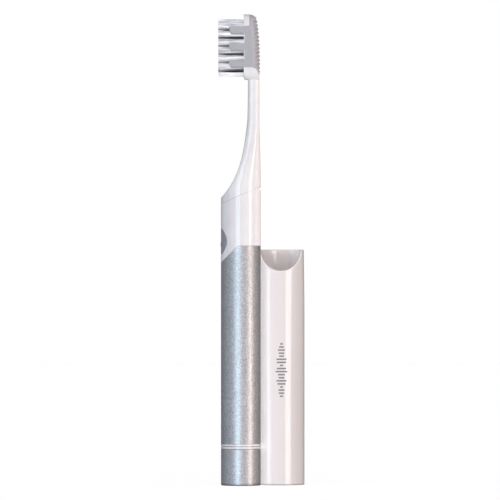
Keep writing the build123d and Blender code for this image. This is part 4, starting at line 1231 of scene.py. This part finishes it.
def makeWorld():
    # pale studio: white where seen directly, brighter in front than behind, cooler left and warmer right
    world = bpy.data.worlds.new("studio")
    bpy.context.scene.world = world
    world.use_nodes = True
    tree = world.node_tree
    tree.nodes.clear()
    direction = addNode(tree, "ShaderNodeTexCoord").outputs["Generated"]
    parts = addNode(tree, "ShaderNodeSeparateXYZ", {0: direction})
    side = stretchNode(tree, parts.outputs[0], -1.0, 1.0)
    soft = stretchNode(tree, parts.outputs[1], -1.0, 1.0, 0.82, 0.08)
    shine = stretchNode(tree, parts.outputs[1], -1.0, 1.0, 0.50, 0.12)
    tint = mixColours(tree, side, (0.86, 0.94, 1.06), (1.10, 0.98, 0.93))
    path = addNode(tree, "ShaderNodeLightPath")
    diffuse = addNode(tree, "ShaderNodeBackground", {0: tint, 1: soft})
    glossy = addNode(tree, "ShaderNodeBackground", {0: tint, 1: shine})
    white = addNode(tree, "ShaderNodeBackground", {0: (1, 1, 1, 1), 1: 1.0})
    first = addNode(tree, "ShaderNodeMixShader", {
        0: path.outputs["Is Glossy Ray"], 1: diffuse.outputs[0], 2: glossy.outputs[0]})
    second = addNode(tree, "ShaderNodeMixShader", {
        0: path.outputs["Is Camera Ray"], 1: first.outputs[0], 2: white.outputs[0]})
    addNode(tree, "ShaderNodeOutputWorld", {0: second.outputs[0]})


def makeFloor():
    # pale square just under the feet, faintly lit from within so that it stays white, and partly see-through
    # so that the end cap still shows when it is pulled down past it
    half, height = 3.0, -0.0001
    corners = [(-half, -half, height), (half, -half, height), (half, half, height), (-half, half, height)]
    mesh = bpy.data.meshes.new("floor")
    mesh.from_pydata(corners, [], [(0, 1, 2, 3)])
    floor = bpy.data.objects.new("floor", mesh)
    bpy.context.scene.collection.objects.link(floor)
    material, tree, shader, place = startMaterial(
        "paleFloor", Roughness=0.9, Specular_IOR_Level=0.0, Alpha=0.35,
        Emission_Color=(1.0, 1.0, 1.0, 1.0), Emission_Strength=0.6)
    grain = useGroup(tree, grainGroup, place, Grain_Size=0.02, Detail=2.0)
    colour = mixColours(tree, grain.outputs["Mask"], (0.9, 0.9, 0.9), (0.92, 0.92, 0.92))
    tree.links.new(colour, shader.inputs["Base Color"])
    mesh.materials.append(material)
    floor.visible_glossy, floor.visible_diffuse = False, False


bpy.context.scene.view_settings.view_transform = "Standard"
makeCamera()
makeWorld()
makeFloor()
capLit, brushLit, glossLit = lightGroups()
addLight("coolStrip", -17, 0.56, 1.35, (0.66, 0.86, 1.0), brushLit, True)
addLight("warmStrip", 57, 0.34, 2.05, (1.0, 0.84, 0.77), brushLit, True)
addLight("brushFront", 6, 0.9, 1.10, (0.99, 0.99, 1.0), brushLit, False)
addLight("brushWarm", 78, 0.9, 1.45, (1.0, 0.81, 0.75), brushLit, False)
addLight("brushLow", 10, 0.9, 0.70, (1.0, 0.96, 0.94), brushLit, False, height=0.9, lift=-55)
addLight("capStrip", -66, 0.45, 1.0, (0.86, 0.94, 1.0), capLit, True)
addLight("capLine", 40, 0.62, 1.75, (1.0, 0.97, 0.95), capLit, True)
addLight("capFront", -46, 0.9, 1.35, (1.0, 0.985, 0.985), capLit, False)
addLight("capWarm", 52, 0.9, 0.66, (1.0, 0.955, 0.93), capLit, False)
addLight("capSide", -104, 0.9, 2.1, (0.76, 0.91, 1.0), capLit, False)
addLight("capTop", 0, 0.8, 1.6, (1.0, 0.99, 0.98), capLit, True, height=0.5, lift=62)
addLight("capMouth", 0, 0.8, 1.05, (1.0, 0.98, 0.97), capLit, False, height=0.5, lift=58)
addLight("capRear", 128, 1.2, 0.22, (1.0, 0.94, 0.92), capLit, True)
addLight("rearRight", 128, 1.6, 0.70, (1.0, 0.93, 0.90), glossLit, True)
addLight("rearLeft", -128, 1.6, 0.30, (0.93, 0.96, 1.0), glossLit, True)
print("stage made")
